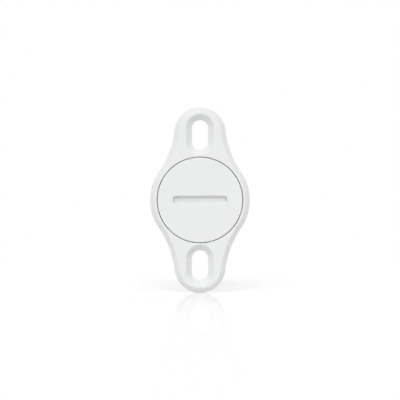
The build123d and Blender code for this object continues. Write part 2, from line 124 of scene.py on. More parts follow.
class SensorBoardSettings(bpy.types.PropertyGroup):
    """Finish of the circuit board and the parts on it."""
    mask: colour_setting("Solder mask", "Colour of the board's lacquer", (0.018, 0.15, 0.06))
    tin: colour_setting("Tin", "Colour of solder, pads and terminals", (0.62, 0.62, 0.61))
    resin: colour_setting("Resin", "Colour of the chips", (0.03, 0.03, 0.032))
    joint: length_setting("Joint size", "Radius of the foot of a solder joint", 0.55 * MM)
    clear: length_setting("Track spacing", "Bare strip beside each track", 0.14 * MM)


class SensorStageSettings(bpy.types.PropertyGroup):
    """The white table, the light and the camera."""
    sky_front: factor_setting(
        "Room light", "Brightness of the surroundings on the room's side", 0.28)
    sky_back: factor_setting("Back light", "Brightness of the surroundings behind the plate", 0.46)
    key: lamp_setting("Key light", "Brightness of the lamp above the camera", 1.92)
    rear: lamp_setting("Rear light", "Brightness of the lamp above and behind the object", 0.4)
    lamp_spread: bpy.props.FloatProperty(
        name="Lamp spread", description="How wide each lamp looks from the object",
        default=math.radians(50), subtype="ANGLE", unit="ROTATION")
    table: factor_setting("Table", "Brightness of the table top as it lights the object", 0.88)
    shade: factor_setting("Table shadow", "How strongly the camera sees shadows on the table", 0.5)
    lift: factor_setting("Table lift", "White added to the table for the camera", 0.57)
    gloss: factor_setting("Table gloss", "Mirror image in the open table at a low angle", 0.065)
    foot_gloss: factor_setting(
        "Gloss at the foot", "Mirror image beside the object at a low angle", 0.38)
    lens: bpy.props.FloatProperty(
        name="Lens", description="Focal length in millimetres", default=200.0, min=20.0)
    frame_height: length_setting(
        "Frame height", "What the picture takes in at the plate", 93.05 * MM)


def middle(box, axis):
    """The middle of a box along one axis."""
    return (getattr(box[0], axis) + getattr(box[1], axis)) / 2


def join(tree, value, socket):
    """Sets a socket to a value, or links it to the socket that the value comes from."""
    if isinstance(value, bpy.types.NodeSocket):
        tree.links.new(value, socket)
    else:
        socket.default_value = value


def add_node(tree, kind, inputs=None, **settings):
    """Adds a node with these settings, and sets or links its inputs by name or number."""
    made = tree.nodes.new(kind)
    for name, value in settings.items():
        setattr(made, name, value)
    for name, value in (inputs or {}).items():
        join(tree, value, made.inputs[name])
    return made


def calc(tree, operation, *values):
    """One step of arithmetic; gives its result socket."""
    return add_node(tree, "ShaderNodeMath", dict(enumerate(values)), operation=operation).outputs[0]


def product(tree, *values):
    """Values multiplied, such as masks that have to hold together."""
    return functools.reduce(lambda a, b: calc(tree, "MULTIPLY", a, b), values)


def largest(tree, *values):
    """The largest of some values."""
    return functools.reduce(lambda a, b: calc(tree, "MAXIMUM", a, b), values)


def apart(tree, a, b):
    """How far two values are from each other."""
    return calc(tree, "ABSOLUTE", calc(tree, "SUBTRACT", a, b))


def vector_calc(tree, operation, *values):
    """One step of arithmetic with places."""
    made = add_node(tree, "ShaderNodeVectorMath", dict(enumerate(values)), operation=operation)
    gives_number = operation in ("LENGTH", "DISTANCE", "DOT_PRODUCT")
    return made.outputs["Value" if gives_number else "Vector"]


def scaled(tree, vector, share):
    """A colour or a way multiplied by one number."""
    made = add_node(tree, "ShaderNodeVectorMath", {0: vector, "Scale": share}, operation="SCALE")
    return made.outputs["Vector"]


def position(tree, place):
    """The three coordinates of a place, in metres."""
    parts = add_node(tree, "ShaderNodeSeparateXYZ", {"Vector": place}).outputs
    return parts["X"], parts["Y"], parts["Z"]


def ramp(tree, value, low, high, to_low=0.0, to_high=1.0, smooth=False):
    """A value carried from one range to another, held at both ends."""
    return add_node(
        tree, "ShaderNodeMapRange",
        {"Value": value, "From Min": low, "From Max": high, "To Min": to_low, "To Max": to_high},
        clamp=True, interpolation_type="SMOOTHSTEP" if smooth else "LINEAR").outputs["Result"]


# A Mix node has sockets of the same names for each kind of data, so these two go by number
def blend_values(tree, share, a, b):
    """Value a where the share is 0, and value b where it is 1."""
    return add_node(tree, "ShaderNodeMix", {0: share, 2: a, 3: b}, data_type="FLOAT").outputs[0]


def blend_colours(tree, share, a, b):
    """Colour a where the share is 0, and colour b where it is 1."""
    return add_node(tree, "ShaderNodeMix", {0: share, 6: a, 7: b}, data_type="RGBA").outputs[2]


def noise(tree, place, size, detail=2.0, roughness=0.5):
    """Soft noise whose features are about this many metres across."""
    scale = calc(tree, "DIVIDE", 1.0, size)
    return add_node(
        tree, "ShaderNodeTexNoise",
        {"Vector": place, "Scale": scale, "Detail": detail, "Roughness": roughness}).outputs["Fac"]


def open_group(name, inputs, outputs):
    """A new shader group with these sockets; gives its tree, what goes in and what comes out."""
    tree = bpy.data.node_groups.new(name, "ShaderNodeTree")
    kinds = {"v": "NodeSocketVector", "c": "NodeSocketColor", "f": "NodeSocketFloat"}
    for title, kind, default in inputs:
        socket = tree.interface.new_socket(name=title, in_out="INPUT", socket_type=kinds[kind])
        socket.default_value = default
    for title, kind in outputs:
        tree.interface.new_socket(name=title, in_out="OUTPUT", socket_type=kinds[kind])
    given = tree.nodes.new("NodeGroupInput").outputs
    return tree, given, tree.nodes.new("NodeGroupOutput").inputs


def group_node(tree, name, build, values):
    """Places a shared shader group with its own values, and builds the group at its first use."""
    shared = bpy.data.node_groups.get(name) or build(name)
    return add_node(tree, "ShaderNodeGroup", values, node_tree=shared).outputs


def moulded_grain(name):
    """Plastic from a mould: fine grain, a slow drift in shade, and uneven gloss."""
    tree, given, out = open_group(
        name,
        [("Place", "v", (0, 0, 0)), ("Colour", "c", (1, 1, 1, 1)), ("Shade change", "f", 0.02),
         ("Roughness", "f", 0.4), ("Gloss change", "f", 0.06), ("Grain size", "f", 0.15 * MM),
         ("Cloud size", "f", 7 * MM)],
        [("Colour", "c"), ("Roughness", "f"), ("Height", "f")])
    fine = noise(tree, given["Place"], given["Grain size"], detail=3.0, roughness=0.6)
    cloud = noise(tree, given["Place"], given["Cloud size"])
    fine_off = calc(tree, "SUBTRACT", fine, 0.5)
    cloud_off = calc(tree, "SUBTRACT", cloud, 0.5)
    drift = calc(tree, "MULTIPLY_ADD", cloud_off, given["Shade change"], 1.0)
    speckle = product(tree, fine_off, given["Shade change"])
    shade = calc(tree, "MULTIPLY_ADD", speckle, 0.5, drift)
    join(tree, scaled(tree, given["Colour"], shade), out["Colour"])
    uneven = calc(tree, "MULTIPLY_ADD", fine_off, 0.6, cloud_off)
    join(tree, calc(tree, "MULTIPLY_ADD", uneven, given["Gloss change"], given["Roughness"]),
         out["Roughness"])
    join(tree, fine, out["Height"])
    return tree


def worked_metal(name):
    """Drawn, rolled or plated metal: streaks along the work, and a faint tarnish in clouds."""
    tree, given, out = open_group(
        name,
        [("Place", "v", (0, 0, 0)), ("Colour", "c", (0.7, 0.7, 0.7, 1)),
         ("Tarnish colour", "c", (0.4, 0.36, 0.3, 1)), ("Tarnish", "f", 0.25),
         ("Roughness", "f", 0.3), ("Streak size", "f", 0.06 * MM), ("Stretch", "v", (1, 1, 1))],
        [("Colour", "c"), ("Roughness", "f"), ("Height", "f")])
    along = vector_calc(tree, "MULTIPLY", given["Place"], given["Stretch"])
    streak = noise(tree, along, given["Streak size"], detail=3.0, roughness=0.6)
    cloud = noise(tree, given["Place"], 1.7 * MM, detail=3.0)
    stain = product(tree, ramp(tree, cloud, 0.48, 0.75, smooth=True), given["Tarnish"])
    broad = noise(tree, along, product(tree, given["Streak size"], 9.0))
    shade = ramp(tree, calc(tree, "MULTIPLY_ADD", broad, 1.4, streak), 0.8, 1.6, 0.78, 1.1)
    bright = scaled(tree, given["Colour"], shade)
    join(tree, blend_colours(tree, stain, bright, given["Tarnish colour"]), out["Colour"])
    streak_off = calc(tree, "SUBTRACT", streak, 0.5)
    rubbed = calc(tree, "MULTIPLY_ADD", streak_off, 0.16, given["Roughness"])
    join(tree, calc(tree, "MULTIPLY_ADD", stain, 0.3, rubbed), out["Roughness"])
    join(tree, streak, out["Height"])
    return tree


def round_mark(name):
    """A round mark on a face: 1 inside, 0 outside, soft at its edge. Plane leaves out an axis."""
    tree, given, out = open_group(
        name,
        [("Place", "v", (0, 0, 0)), ("Centre", "v", (0, 0, 0)), ("Plane", "v", FACING_Y),
         ("Radius", "f", 1 * MM), ("Edge", "f", MARK_EDGE)],
        [("Mask", "f")])
    off = vector_calc(tree, "SUBTRACT", given["Place"], given["Centre"])
    far = vector_calc(tree, "LENGTH", vector_calc(tree, "MULTIPLY", off, given["Plane"]))
    inner = calc(tree, "SUBTRACT", given["Radius"], given["Edge"])
    join(tree, ramp(tree, far, inner, given["Radius"], 1.0, 0.0, smooth=True), out["Mask"])
    return tree


def mark(tree, place, centre, radius, edge=MARK_EDGE, plane=FACING_Y):
    """The mask of one round mark."""
    return group_node(tree, "Round mark", round_mark, {
        "Place": place, "Centre": centre, "Plane": plane, "Radius": radius, "Edge": edge})["Mask"]


class Finish:
    """A material in the making: its tree, its shader's inputs and the object's own coordinates."""

    def __init__(self, name):
        self.material = bpy.data.materials.new(name)
        self.material.use_nodes = True
        self.tree = self.material.node_tree
        self.tree.nodes.clear()
        shader = self.tree.nodes.new("ShaderNodeBsdfPrincipled")
        surface = self.tree.nodes.new("ShaderNodeOutputMaterial")
        self.tree.links.new(shader.outputs["BSDF"], surface.inputs["Surface"])
        self.inputs = shader.inputs
        self.place = self.tree.nodes.new("ShaderNodeTexCoord").outputs["Object"]

    def set(self, **values):
        """Sets or links the shader's inputs; an underscore stands for a space in a name."""
        for name, value in values.items():
            join(self.tree, value, self.inputs[name.replace("_", " ")])

    def so_far(self, name):
        """What feeds one of the shader's inputs up to now."""
        return self.inputs[name].links[0].from_socket

    def recolour(self, share, colour):
        """Blends another colour over the one that the shader has so far."""
        self.set(Base_Color=blend_colours(self.tree, share, self.so_far("Base Color"), colour))

    def bump(self, height, depth):
        """Raises the surface by a height of 0 to 1 times a depth in metres."""
        made = add_node(self.tree, "ShaderNodeBump", {"Height": height, "Distance": depth})
        self.set(Normal=made.outputs["Normal"])


def plastic(name, colour, roughness=0.4, shade=0.03, gloss=0.08, grain=0.15 * MM,
            cloud=7 * MM, depth=0.002 * MM, relief=None):
    """A moulded plastic; relief may add larger marks to its height, in millimetres."""
    finish = Finish(name)
    tree, place = finish.tree, finish.place
    made = group_node(tree, "Moulded grain", moulded_grain, {
        "Place": place, "Colour": (*colour, 1), "Shade change": shade, "Roughness": roughness,
        "Gloss change": gloss, "Grain size": grain, "Cloud size": cloud})
    finish.set(Base_Color=made["Colour"], Roughness=made["Roughness"])
    height = product(tree, made["Height"], depth / MM)
    if relief:
        height = calc(tree, "ADD", height, relief(tree, place))
    finish.bump(height, MM)
    return finish


def metal(name, colour, roughness=0.3, tarnish=0.2, tarnish_colour=(0.42, 0.37, 0.3),
          streak=0.05 * MM, stretch=(1, 1, 1), depth=0.002 * MM):
    """A worked metal; its streaks run along the axis that the stretch makes small."""
    finish = Finish(name)
    made = group_node(finish.tree, "Worked metal", worked_metal, {
        "Place": finish.place, "Colour": (*colour, 1), "Tarnish": tarnish,
        "Tarnish colour": (*tarnish_colour, 1), "Roughness": roughness,
        "Streak size": streak, "Stretch": stretch})
    finish.set(Base_Color=made["Colour"], Roughness=made["Roughness"], Metallic=1.0)
    finish.bump(made["Height"], depth)
    return finish


def dress(finish, *nodes):
    """Gives a finish to nodes of the frame."""
    for name in nodes:
        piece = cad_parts[name]
        if not piece.material_slots:
            piece.data.materials.append(finish.material)
        for slot in piece.material_slots:
            slot.material = finish.material


def deselect():
    """Closes whatever is open, and selects nothing."""
    if bpy.context.object and bpy.context.object.mode != "OBJECT":
        bpy.ops.object.mode_set(mode="OBJECT")
    bpy.ops.object.select_all(action="DESELECT")


def shape(piece):
    """Opens one piece for shaping, with all of it selected."""
    deselect()
    piece.select_set(True)
    bpy.context.view_layer.objects.active = piece
    bpy.ops.object.mode_set(mode="EDIT")
    bpy.ops.mesh.select_all(action="SELECT")


def settle(piece, name):
    """Closes the shaping and leaves the piece's place in its mesh."""
    if piece.mode == "EDIT":
        bpy.ops.object.mode_set(mode="OBJECT")
    bpy.ops.object.transform_apply(location=True, rotation=True, scale=True)
    piece.name = name
    piece.data.name = name
    return piece


def modify(piece, kind, **settings):
    """Gives the piece at work a modifier, and applies it."""
    made = piece.modifiers.new(kind.lower(), kind)
    for name, value in settings.items():
        setattr(made, name, value)
    bpy.ops.object.modifier_apply(modifier=made.name)


def shaped_box(name, low, high, round_off):
    """A box between two corners with rounded edges."""
    low, high = Vector(low), Vector(high)
    deselect()
    bpy.ops.mesh.primitive_cube_add(size=1.0, location=(low + high) / 2)
    made = bpy.context.object
    shape(made)
    bpy.ops.transform.resize(value=tuple(high - low))
    bpy.ops.mesh.bevel(offset=round_off, segments=2, affect="EDGES")
    return settle(made, name)


def copy_of(piece):
    """Another piece like this one, with its own mesh."""
    again = piece.copy()
    again.data = piece.data.copy()
    bpy.context.collection.objects.link(again)
    return again


def moved(piece, way):
    """The piece shifted as it stands."""
    shape(piece)
    bpy.ops.transform.translate(value=tuple(way))
    bpy.ops.object.mode_set(mode="OBJECT")
    return piece


def turned(piece, degrees, axis="Z"):
    """The piece turned about a line through the origin."""
    shape(piece)
    bpy.ops.transform.rotate(
        value=math.radians(degrees), orient_axis=axis, orient_type="GLOBAL",
        center_override=(0, 0, 0))
    bpy.ops.object.mode_set(mode="OBJECT")
    return piece


def copies(model, places):
    """The model again at each place, as one piece; the model itself goes to the first."""
    made = [model] + [copy_of(model) for _ in places[1:]]
    for piece, place in zip(made, places):
        moved(piece, place)
    return fuse(model.name, made)


def fuse(name, parts):
    """Parts made one piece."""
    deselect()
    for part in parts:
        part.select_set(True)
    bpy.context.view_layer.objects.active = parts[0]
    if len(parts) > 1:
        bpy.ops.object.join()
    return settle(bpy.context.object, name)


def close_up(piece, finish, body, angle):
    """Last steps of a new piece: faces outwards, shading, finish and body."""
    shape(piece)
    bpy.ops.mesh.normals_make_consistent(inside=False)
    bpy.ops.object.mode_set(mode="OBJECT")
    bpy.ops.object.shade_smooth_by_angle(angle=math.radians(angle))
    piece.data.materials.clear()
    piece.data.materials.append(finish.material)
    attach(piece, body)
    piece.select_set(False)
    return piece


# A solder joint from the board up: share of its height, and how much of the foot's width is left
JOINT_STEPS = ((0.06, 0.97), (0.16, 0.74), (0.22, 0.5), (0.26, 0.26), (0.18, 0.06), (0.12, 0.0))
# A solder wedge from its wall out: share of its reach, and how much of its height is left
WEDGE_STEPS = ((0.14, 0.72), (0.2, 0.46), (0.28, 0.24), (0.38, 0.06))


def solder_joint(name, foot, height, neck):
    """A solder joint: a wide foot that draws in to the lead in a hollow curve."""
    deselect()
    bpy.ops.mesh.primitive_circle_add(vertices=20, radius=foot, fill_type="NGON")
    made = bpy.context.object
    shape(made)
    width = foot
    for rise, share in JOINT_STEPS:
        wanted = neck + (foot - neck) * share
        bpy.ops.mesh.extrude_region_move(TRANSFORM_OT_translate={"value": (0, 0, height * rise)})
        bpy.ops.transform.resize(value=(wanted / width, wanted / width, 1))
        width = wanted
    bpy.ops.mesh.inset(thickness=neck * 0.45, depth=neck * 0.12)
    return settle(made, name)


def solder_wedge(name, width, height, reach):
    """A fillet of solder that runs down from a wall at Y = 0 to the board at Z = 0."""
    deselect()
    bpy.ops.mesh.primitive_plane_add(size=1.0)
    made = bpy.context.object
    shape(made)
    bpy.ops.transform.rotate(value=math.pi / 2, orient_axis="X", center_override=(0, 0, 0))
    bpy.ops.transform.resize(value=(width, 1, height), center_override=(0, 0, 0))
    bpy.ops.transform.translate(value=(0, 0, height / 2))
    tall = 1.0  # share of the height at the last step
    for step, share in WEDGE_STEPS:
        bpy.ops.mesh.extrude_region_move(TRANSFORM_OT_translate={"value": (0, reach * step, 0)})
        bpy.ops.transform.resize(value=(0.96, 1, share / tall), center_override=(0, 0, 0))
        tall = share
    return settle(made, name)


def bent_leg(name, width, thickness, points):
    """A flat leg bent through points in Y and Z, in the middle of X = 0; it starts out level."""
    (y0, level), (y1, _) = points[:2]
    half_way = (y0 + y1) / 2
    deselect()
    bpy.ops.mesh.primitive_plane_add(size=1.0)
    made = bpy.context.object
    shape(made)
    bpy.ops.transform.resize(value=(width, y1 - y0, 1))
    bpy.ops.transform.translate(value=(0, half_way, level))
    bpy.ops.object.mode_set(mode="OBJECT")
    for corner in made.data.vertices:  # only the far edge stays selected, to be drawn out
        corner.select = corner.co.y > half_way
    for edge in made.data.edges:
        edge.select = all(made.data.vertices[n].select for n in edge.vertices)
    for face in made.data.polygons:
        face.select = False
    bpy.ops.object.mode_set(mode="EDIT")
    bpy.ops.mesh.select_mode(type="EDGE")
    for (y_from, z_from), (y_to, z_to) in zip(points[1:], points[2:]):
        bpy.ops.mesh.extrude_edges_move(
            TRANSFORM_OT_translate={"value": (0, y_to - y_from, z_to - z_from)})
    bpy.ops.mesh.select_mode(type="VERT")
    bpy.ops.object.mode_set(mode="OBJECT")
    modify(made, "SOLIDIFY", thickness=thickness, offset=0.0)
    modify(made, "BEVEL", width=thickness * 0.25, segments=2, limit_method="ANGLE")
    return settle(made, name)


def pin_marks(tree, place, centres, radius, edge=MARK_EDGE, plane=FACING_Y):
    """The mask of the round marks that the mould's ejector pins leave."""
    return largest(tree, *[mark(tree, place, centre, radius, edge, plane) for centre in centres])


def plate_relief(tree, place):
    """Marks of the ejector pins on the plate's back."""
    pin_x = 3.7 * MM
    pin_z = (PLATE[1].z - PLATE[0].z) / 2 * 0.70
    centres = [(x, 0, z) for x in (-pin_x, pin_x) for z in (-pin_z, pin_z)]
    marks = pin_marks(tree, place, centres, 0.95 * MM, 0.1 * MM)
    on_back = calc(tree, "GREATER_THAN", position(tree, place)[1], -0.05 * MM)
    return product(tree, marks, on_back, -0.06)


def barrel_relief(tree, place):
    """The parting line of the mould along both sides of the tube."""
    off = calc(tree, "ABSOLUTE", position(tree, place)[2])
    return ramp(tree, off, 0.02 * MM, 0.07 * MM, 0.012, 0.0, smooth=True)


def end_relief(tree, place):
    """Three pin marks and the broken gate in the middle of the plug."""
    pin_circle = 6.4 * MM
    angles = [math.radians(turn) for turn in (90, 210, 330)]
    centres = [(pin_circle * math.cos(angle), 0, pin_circle * math.sin(angle)) for angle in angles]
    marks = pin_marks(tree, place, centres, 1.1 * MM, 0.12 * MM)
    gate = mark(tree, place, (0, 0, 0), 0.8 * MM, 0.16 * MM)
    rough = noise(tree, place, 0.14 * MM, detail=4.0, roughness=0.7)
    torn = product(tree, gate, ramp(tree, rough, *NOISE_SPAN, 0.03, 0.14))
    return calc(tree, "MULTIPLY_ADD", marks, -0.07, torn)


def white_plastic(name, look, relief=None):
    """The satin white of the mouldings that show."""
    return plastic(
        name, look.white, roughness=look.roughness, shade=0.012, gloss=0.07,
        grain=look.grain, depth=look.grain_height, relief=relief)


class SENSOR_OT_white_mouldings(bpy.types.Operator):
    """Finish the plate, the battery cap, the tube and its end plug in satin white plastic"""
    bl_idname = "sensor.white_mouldings"
    bl_label = "White mouldings"
    bl_options = {"REGISTER", "UNDO"}

    def execute(self, context):
        look = context.scene.sensor_shell
        dress(white_plastic("White plastic, plate", look, plate_relief), "faceplate")
        dress(white_plastic("White plastic, cap", look), "battery_cap")
        dress(white_plastic("White plastic, tube", look, barrel_relief), "barrel")
        dress(white_plastic("White plastic, end plug", look, end_relief), "end_cap")
        return {"FINISHED"}


class SENSOR_OT_seal(bpy.types.Operator):
    """Finish the ring under the battery cap in matt black rubber"""
    bl_idname = "sensor.seal"
    bl_label = "Seal"
    bl_options = {"REGISTER", "UNDO"}

    def execute(self, context):
        look = context.scene.sensor_shell
        dress(plastic("Seal rubber", look.seal, roughness=0.72, shade=0.2, gloss=0.2,
                      grain=0.05 * MM, cloud=1.5 * MM, depth=0.006 * MM), "cap_seal")
        return {"FINISHED"}


def pressed_card():
    """Pressed card: buff, with short fibres that lie every way."""
    finish = plastic(
        "Pressed card", (0.62, 0.53, 0.37), roughness=0.82, shade=0.25, gloss=0.1,
        grain=0.09 * MM, cloud=0.9 * MM, depth=0.012 * MM)
    tree = finish.tree
    pale, dark = (0.76, 0.7, 0.56, 1), (0.45, 0.36, 0.22, 1)
    for stretch, tone in (((1, 1, 0.1), pale), ((0.1, 1, 1), dark)):
        along = vector_calc(tree, "MULTIPLY", finish.place, stretch)
        fibres = ramp(tree, noise(tree, along, 0.07 * MM), 0.56, 0.68)
        finish.recolour(product(tree, fibres, 0.6), tone)
    return finish


def film_relief(tree, place):
    """Creases along the cell near both ends of the film, and one welded seam under it."""
    x, y, z = position(tree, place)
    half = (WRAP[1].y - WRAP[0].y) / 2
    from_middle = apart(tree, y, middle(WRAP, "y"))
    near_end = ramp(tree, from_middle, half - 5 * MM, half, 0.12, 1.0, smooth=True)
    along = vector_calc(tree, "MULTIPLY", place, (1, 0.09, 1))
    creases = ramp(tree, noise(tree, along, 0.7 * MM), 0.45, 0.8, smooth=True)
    crease_height = product(tree, creases, near_end, 0.05)
    under = calc(tree, "LESS_THAN", z, middle(WRAP, "z"))
    seam = ramp(tree, calc(tree, "ABSOLUTE", x), 0.12 * MM, 0.28 * MM, 0.03, 0.0, smooth=True)
    return calc(tree, "MULTIPLY_ADD", seam, under, crease_height)


def shrink_film(name, look):
    """Glossy shrink film with a plain band, and a thin line on either side of it."""
    finish = plastic(
        name, look.wrap, roughness=0.24, shade=0.14, gloss=0.1, grain=0.5 * MM,
        cloud=5 * MM, depth=0.004 * MM, relief=film_relief)
    tree = finish.tree
    from_band = apart(tree, position(tree, finish.place)[1], WRAP[0].y + 5.2 * MM)
    band = ramp(tree, from_band, 2.1 * MM, 2.16 * MM, 1.0, 0.0)
    line = ramp(tree, apart(tree, from_band, 2.5 * MM), 0.1 * MM, 0.14 * MM, 1.0, 0.0)
    for share in (band, line):
        finish.recolour(share, (*look.band, 1))
    finish.set(Coat_Weight=0.25, Coat_Roughness=0.14)
    return finish


class SENSOR_OT_cell(bpy.types.Operator):
    """Finish the lithium cell: plated can, shrink film and the card ring at its front"""
    bl_idname = "sensor.cell"
    bl_label = "Cell"
    bl_options = {"REGISTER", "UNDO"}

    def execute(self, context):
        look = context.scene.sensor_cell
        dress(metal("Plated can", look.can, roughness=0.27, tarnish=0.12, stretch=(1, 0.05, 1)),
              "battery_can")
        dress(metal("Plated contact of the cell", look.can, roughness=0.3, tarnish=0.22,
                    streak=0.04 * MM), "battery_nub")
        dress(pressed_card(), "battery_insulator")
        dress(shrink_film("Shrink film", look), "battery_sleeve")
        return {"FINISHED"}


class SENSOR_OT_wrap_lips(bpy.types.Operator):
    """Draw the film in over both ends of the cell, as it shrinks"""
    bl_idname = "sensor.wrap_lips"
    bl_label = "Film over the ends"
    bl_options = {"REGISTER", "UNDO"}

    def execute(self, context):
        look = context.scene.sensor_cell
        thick = 0.1 * MM
        outer = WRAP[1].x
        curve = (WRAP[0].y - CAN[0].y) + (outer - CAN[1].x)
        inner = outer - curve
        angles = [math.radians(turn) for turn in (15, 30, 45, 60, 75, 90)]
        # Radius of the film and how far out it is: round the can's corner, then in over its end
        steps = [(inner + curve * math.cos(angle), curve * math.sin(angle)) for angle in angles]
        steps.append((inner - look.lip, curve))
        lips = []
        for start, way in ((WRAP[0].y, -1), (WRAP[1].y, 1)):
            centre = (0, start, middle(WRAP, "z"))
            deselect()
            bpy.ops.mesh.primitive_circle_add(
                vertices=96, radius=outer, location=centre, rotation=(math.pi / 2, 0, 0))
            lip = settle(context.object, "film_lip")
            shape(lip)
            radius, out = outer, 0.0
            for next_radius, next_out in steps:
                share = next_radius / radius
                bpy.ops.mesh.extrude_edges_move(
                    TRANSFORM_OT_translate={"value": (0, way * (next_out - out), 0)})
                bpy.ops.transform.resize(value=(share, 1, share), center_override=centre)
                radius, out = next_radius, next_out
            bpy.ops.transform.vertex_random(offset=0.05 * MM, uniform=0.3, seed=4)
            bpy.ops.mesh.select_all(action="SELECT")
            bpy.ops.mesh.normals_make_consistent(inside=False)
            bpy.ops.object.mode_set(mode="OBJECT")
            modify(lip, "SOLIDIFY", thickness=thick, offset=-1.0)
            lips.append(lip)
        close_up(fuse("battery_wrap_lips", lips), shrink_film("Shrink film, lips", look),
                 "battery", angle=50)
        return {"FINISHED"}


class SENSOR_OT_contacts(bpy.types.Operator):
    """Finish the spring, its plate, the strip on the board and the disc on the cap"""
    bl_idname = "sensor.contacts"
    bl_label = "Contacts"
    bl_options = {"REGISTER", "UNDO"}

    def execute(self, context):
        nickel = context.scene.sensor_cell.nickel
        dress(metal("Nickel plate, disc", nickel, roughness=0.3, tarnish=0.25,
                    stretch=(0.06, 1, 1)), "cap_contact")
        dress(metal("Nickel plate, strip", nickel, roughness=0.26, tarnish=0.1, streak=0.09 * MM,
                    stretch=(1, 0.03, 0.03), depth=0.0006 * MM), "positive_leaf")
        dress(metal("Nickel plate, rear", nickel, roughness=0.3, tarnish=0.2,
                    stretch=(1, 1, 0.06)), "negative_plate")
        dress(metal("Plated spring wire", (0.56, 0.56, 0.54), roughness=0.24, tarnish=0.15,
                    streak=0.03 * MM, depth=0.003 * MM), "negative_spring")
        return {"FINISHED"}


def sled_relief(tree, place):
    """Marks of the ejector pins along the bottom of the sled."""
    centres = [(0, y * MM, 0) for y in (12, 24, 41)]
    marks = pin_marks(tree, place, centres, 1.1 * MM, plane=FACING_Z)
    low = calc(tree, "LESS_THAN", position(tree, place)[2], 0.0)
    return product(tree, marks, low, -0.04)


class SENSOR_OT_sled(bpy.types.Operator):
    """Finish the cradle that carries the cell and the board"""
    bl_idname = "sensor.sled"
    bl_label = "Sled"
    bl_options = {"REGISTER", "UNDO"}

    def execute(self, context):
        dress(plastic("Natural plastic", (0.7, 0.715, 0.69), roughness=0.5, shade=0.04, gloss=0.1,
                      grain=0.2 * MM, cloud=5 * MM, depth=0.003 * MM, relief=sled_relief), "sled")
        dress(metal("Zinc plated screw", (0.55, 0.55, 0.51), roughness=0.33, tarnish=0.35,
                    tarnish_colour=(0.5, 0.45, 0.28), streak=0.03 * MM), "board_screws")
        return {"FINISHED"}


# Tracks from the chip parts beside the switch to the controller; the left side mirrors the right
PART_TRACKS = (
    ((2.2, 17.7), (2.2, 18.8), (1.25, 19.75), (1.25, 20.8)),
    ((2.2, 15.4), (2.5, 15.4), (2.9, 15.8), (2.9, 18.9), (1.75, 20.05), (1.75, 20.8)),
    ((2.2, 13.0), (3.0, 13.0), (3.4, 13.4), (3.4, 19.2), (2.75, 19.85), (2.75, 21.75)),
)
# Tracks on the board's upper and lower face: the width, then the corners, in millimetres
UPPER_TRACKS = (
    (0.2, ((-0.6, 8.35), (-1.4, 9.15), (-1.4, 18.95), (-0.75, 19.6), (-0.75, 20.8))),
    (0.2, ((0.6, 20.05), (0.75, 20.2), (0.75, 20.8))),
    (0.25, ((0.9, 7.6), (0.9, 8.5), (1.4, 9.0), (1.4, 18.3))),
    *[(0.16, [(side * x, y) for x, y in corners]) for side in (-1, 1) for corners in PART_TRACKS],
    (0.4, ((4.7, 9.6), (4.7, 41.5), (4.05, 42.15), (1.3, 42.15), (0.95, 41.8), (0.95, 41.2))),
    (0.3, ((4.7, 22.2), (3.9, 22.2))),
    (0.3, ((4.7, 24.6), (3.9, 24.6))),
    (0.16, ((-1.25, 26.2), (-1.25, 26.8))),
    (0.16, ((1.25, 26.2), (1.25, 26.8))),
    (0.5, ((-3.2, 32.4), (-4.1, 32.4), (-4.6, 32.9), (-4.6, 41.6), (-3.55, 42.65), (-3.55, 43.0))),
    (0.2, ((-0.95, 38.9), (-0.95, 34.9))),
    (0.2, ((0.95, 38.9), (0.95, 35.4))),
    (0.25, ((-0.95, 41.2), (-0.95, 42.6), (-1.6, 43.25), (-1.6, 45.0))),
    (0.16, ((0.4, 44.6), (0.4, 43.2), (-0.2, 42.6))),
    (0.16, ((1.6, 44.6), (1.6, 43.2), (2.6, 42.9))),
    (0.16, ((-3.9, 9.2), (-3.9, 12.2), (-4.4, 12.7), (-4.4, 20.2))),
    (0.16, ((2.6, 9.0), (2.6, 10.2), (3.9, 11.5), (3.9, 19.9))),
)
LOWER_TRACKS = (
    (0.25, ((1.4, 18.3), (3.4, 20.3), (3.4, 33.3), (1.3, 35.4), (0.95, 35.4))),
    (0.4, ((-1.6, 45.0), (-4.6, 42.0), (-4.6, 12.2), (-3.4, 11.0))),
    (0.2, ((-0.95, 34.9), (-2.2, 33.65), (-2.2, 21.2), (-0.6, 19.6))),
    (0.3, ((4.7, 9.4), (4.7, 30.0), (2.6, 32.1), (2.6, 34.2))),
    (0.2, ((-0.2, 42.6), (-0.2, 41.6), (1.25, 40.15), (1.25, 39.25))),
)
# Middles of the plated holes and of the test pads
THROUGH_HOLES = (
    (1.4, 18.3), (4.7, 9.4), (-0.95, 34.9), (0.95, 35.4), (-1.6, 45.0), (-0.2, 42.6), (2.6, 42.9),
    (-3.9, 9.0), (-3.4, 11.0), (-0.6, 19.6), (2.6, 34.2), (4.4, 44.6), (-4.6, 45.4), (4.6, 45.6),
    (-4.7, 22.0), (-4.7, 26.4), (-4.7, 29.6), (3.9, 28.2), (3.9, 31.4), (0.0, 35.9), (0.0, 36.9),
    (-3.9, 35.0), (3.6, 35.0), (-4.7, 6.6), (4.7, 6.6), (0.3, 8.9), (-2.4, 8.6),
)
TEST_PADS = ((0.4, 44.6), (1.6, 44.6), (2.8, 44.6))

# Farther off than anything on the board, in metres, as a start for finding what is nearest
FAR_AWAY = 1.0


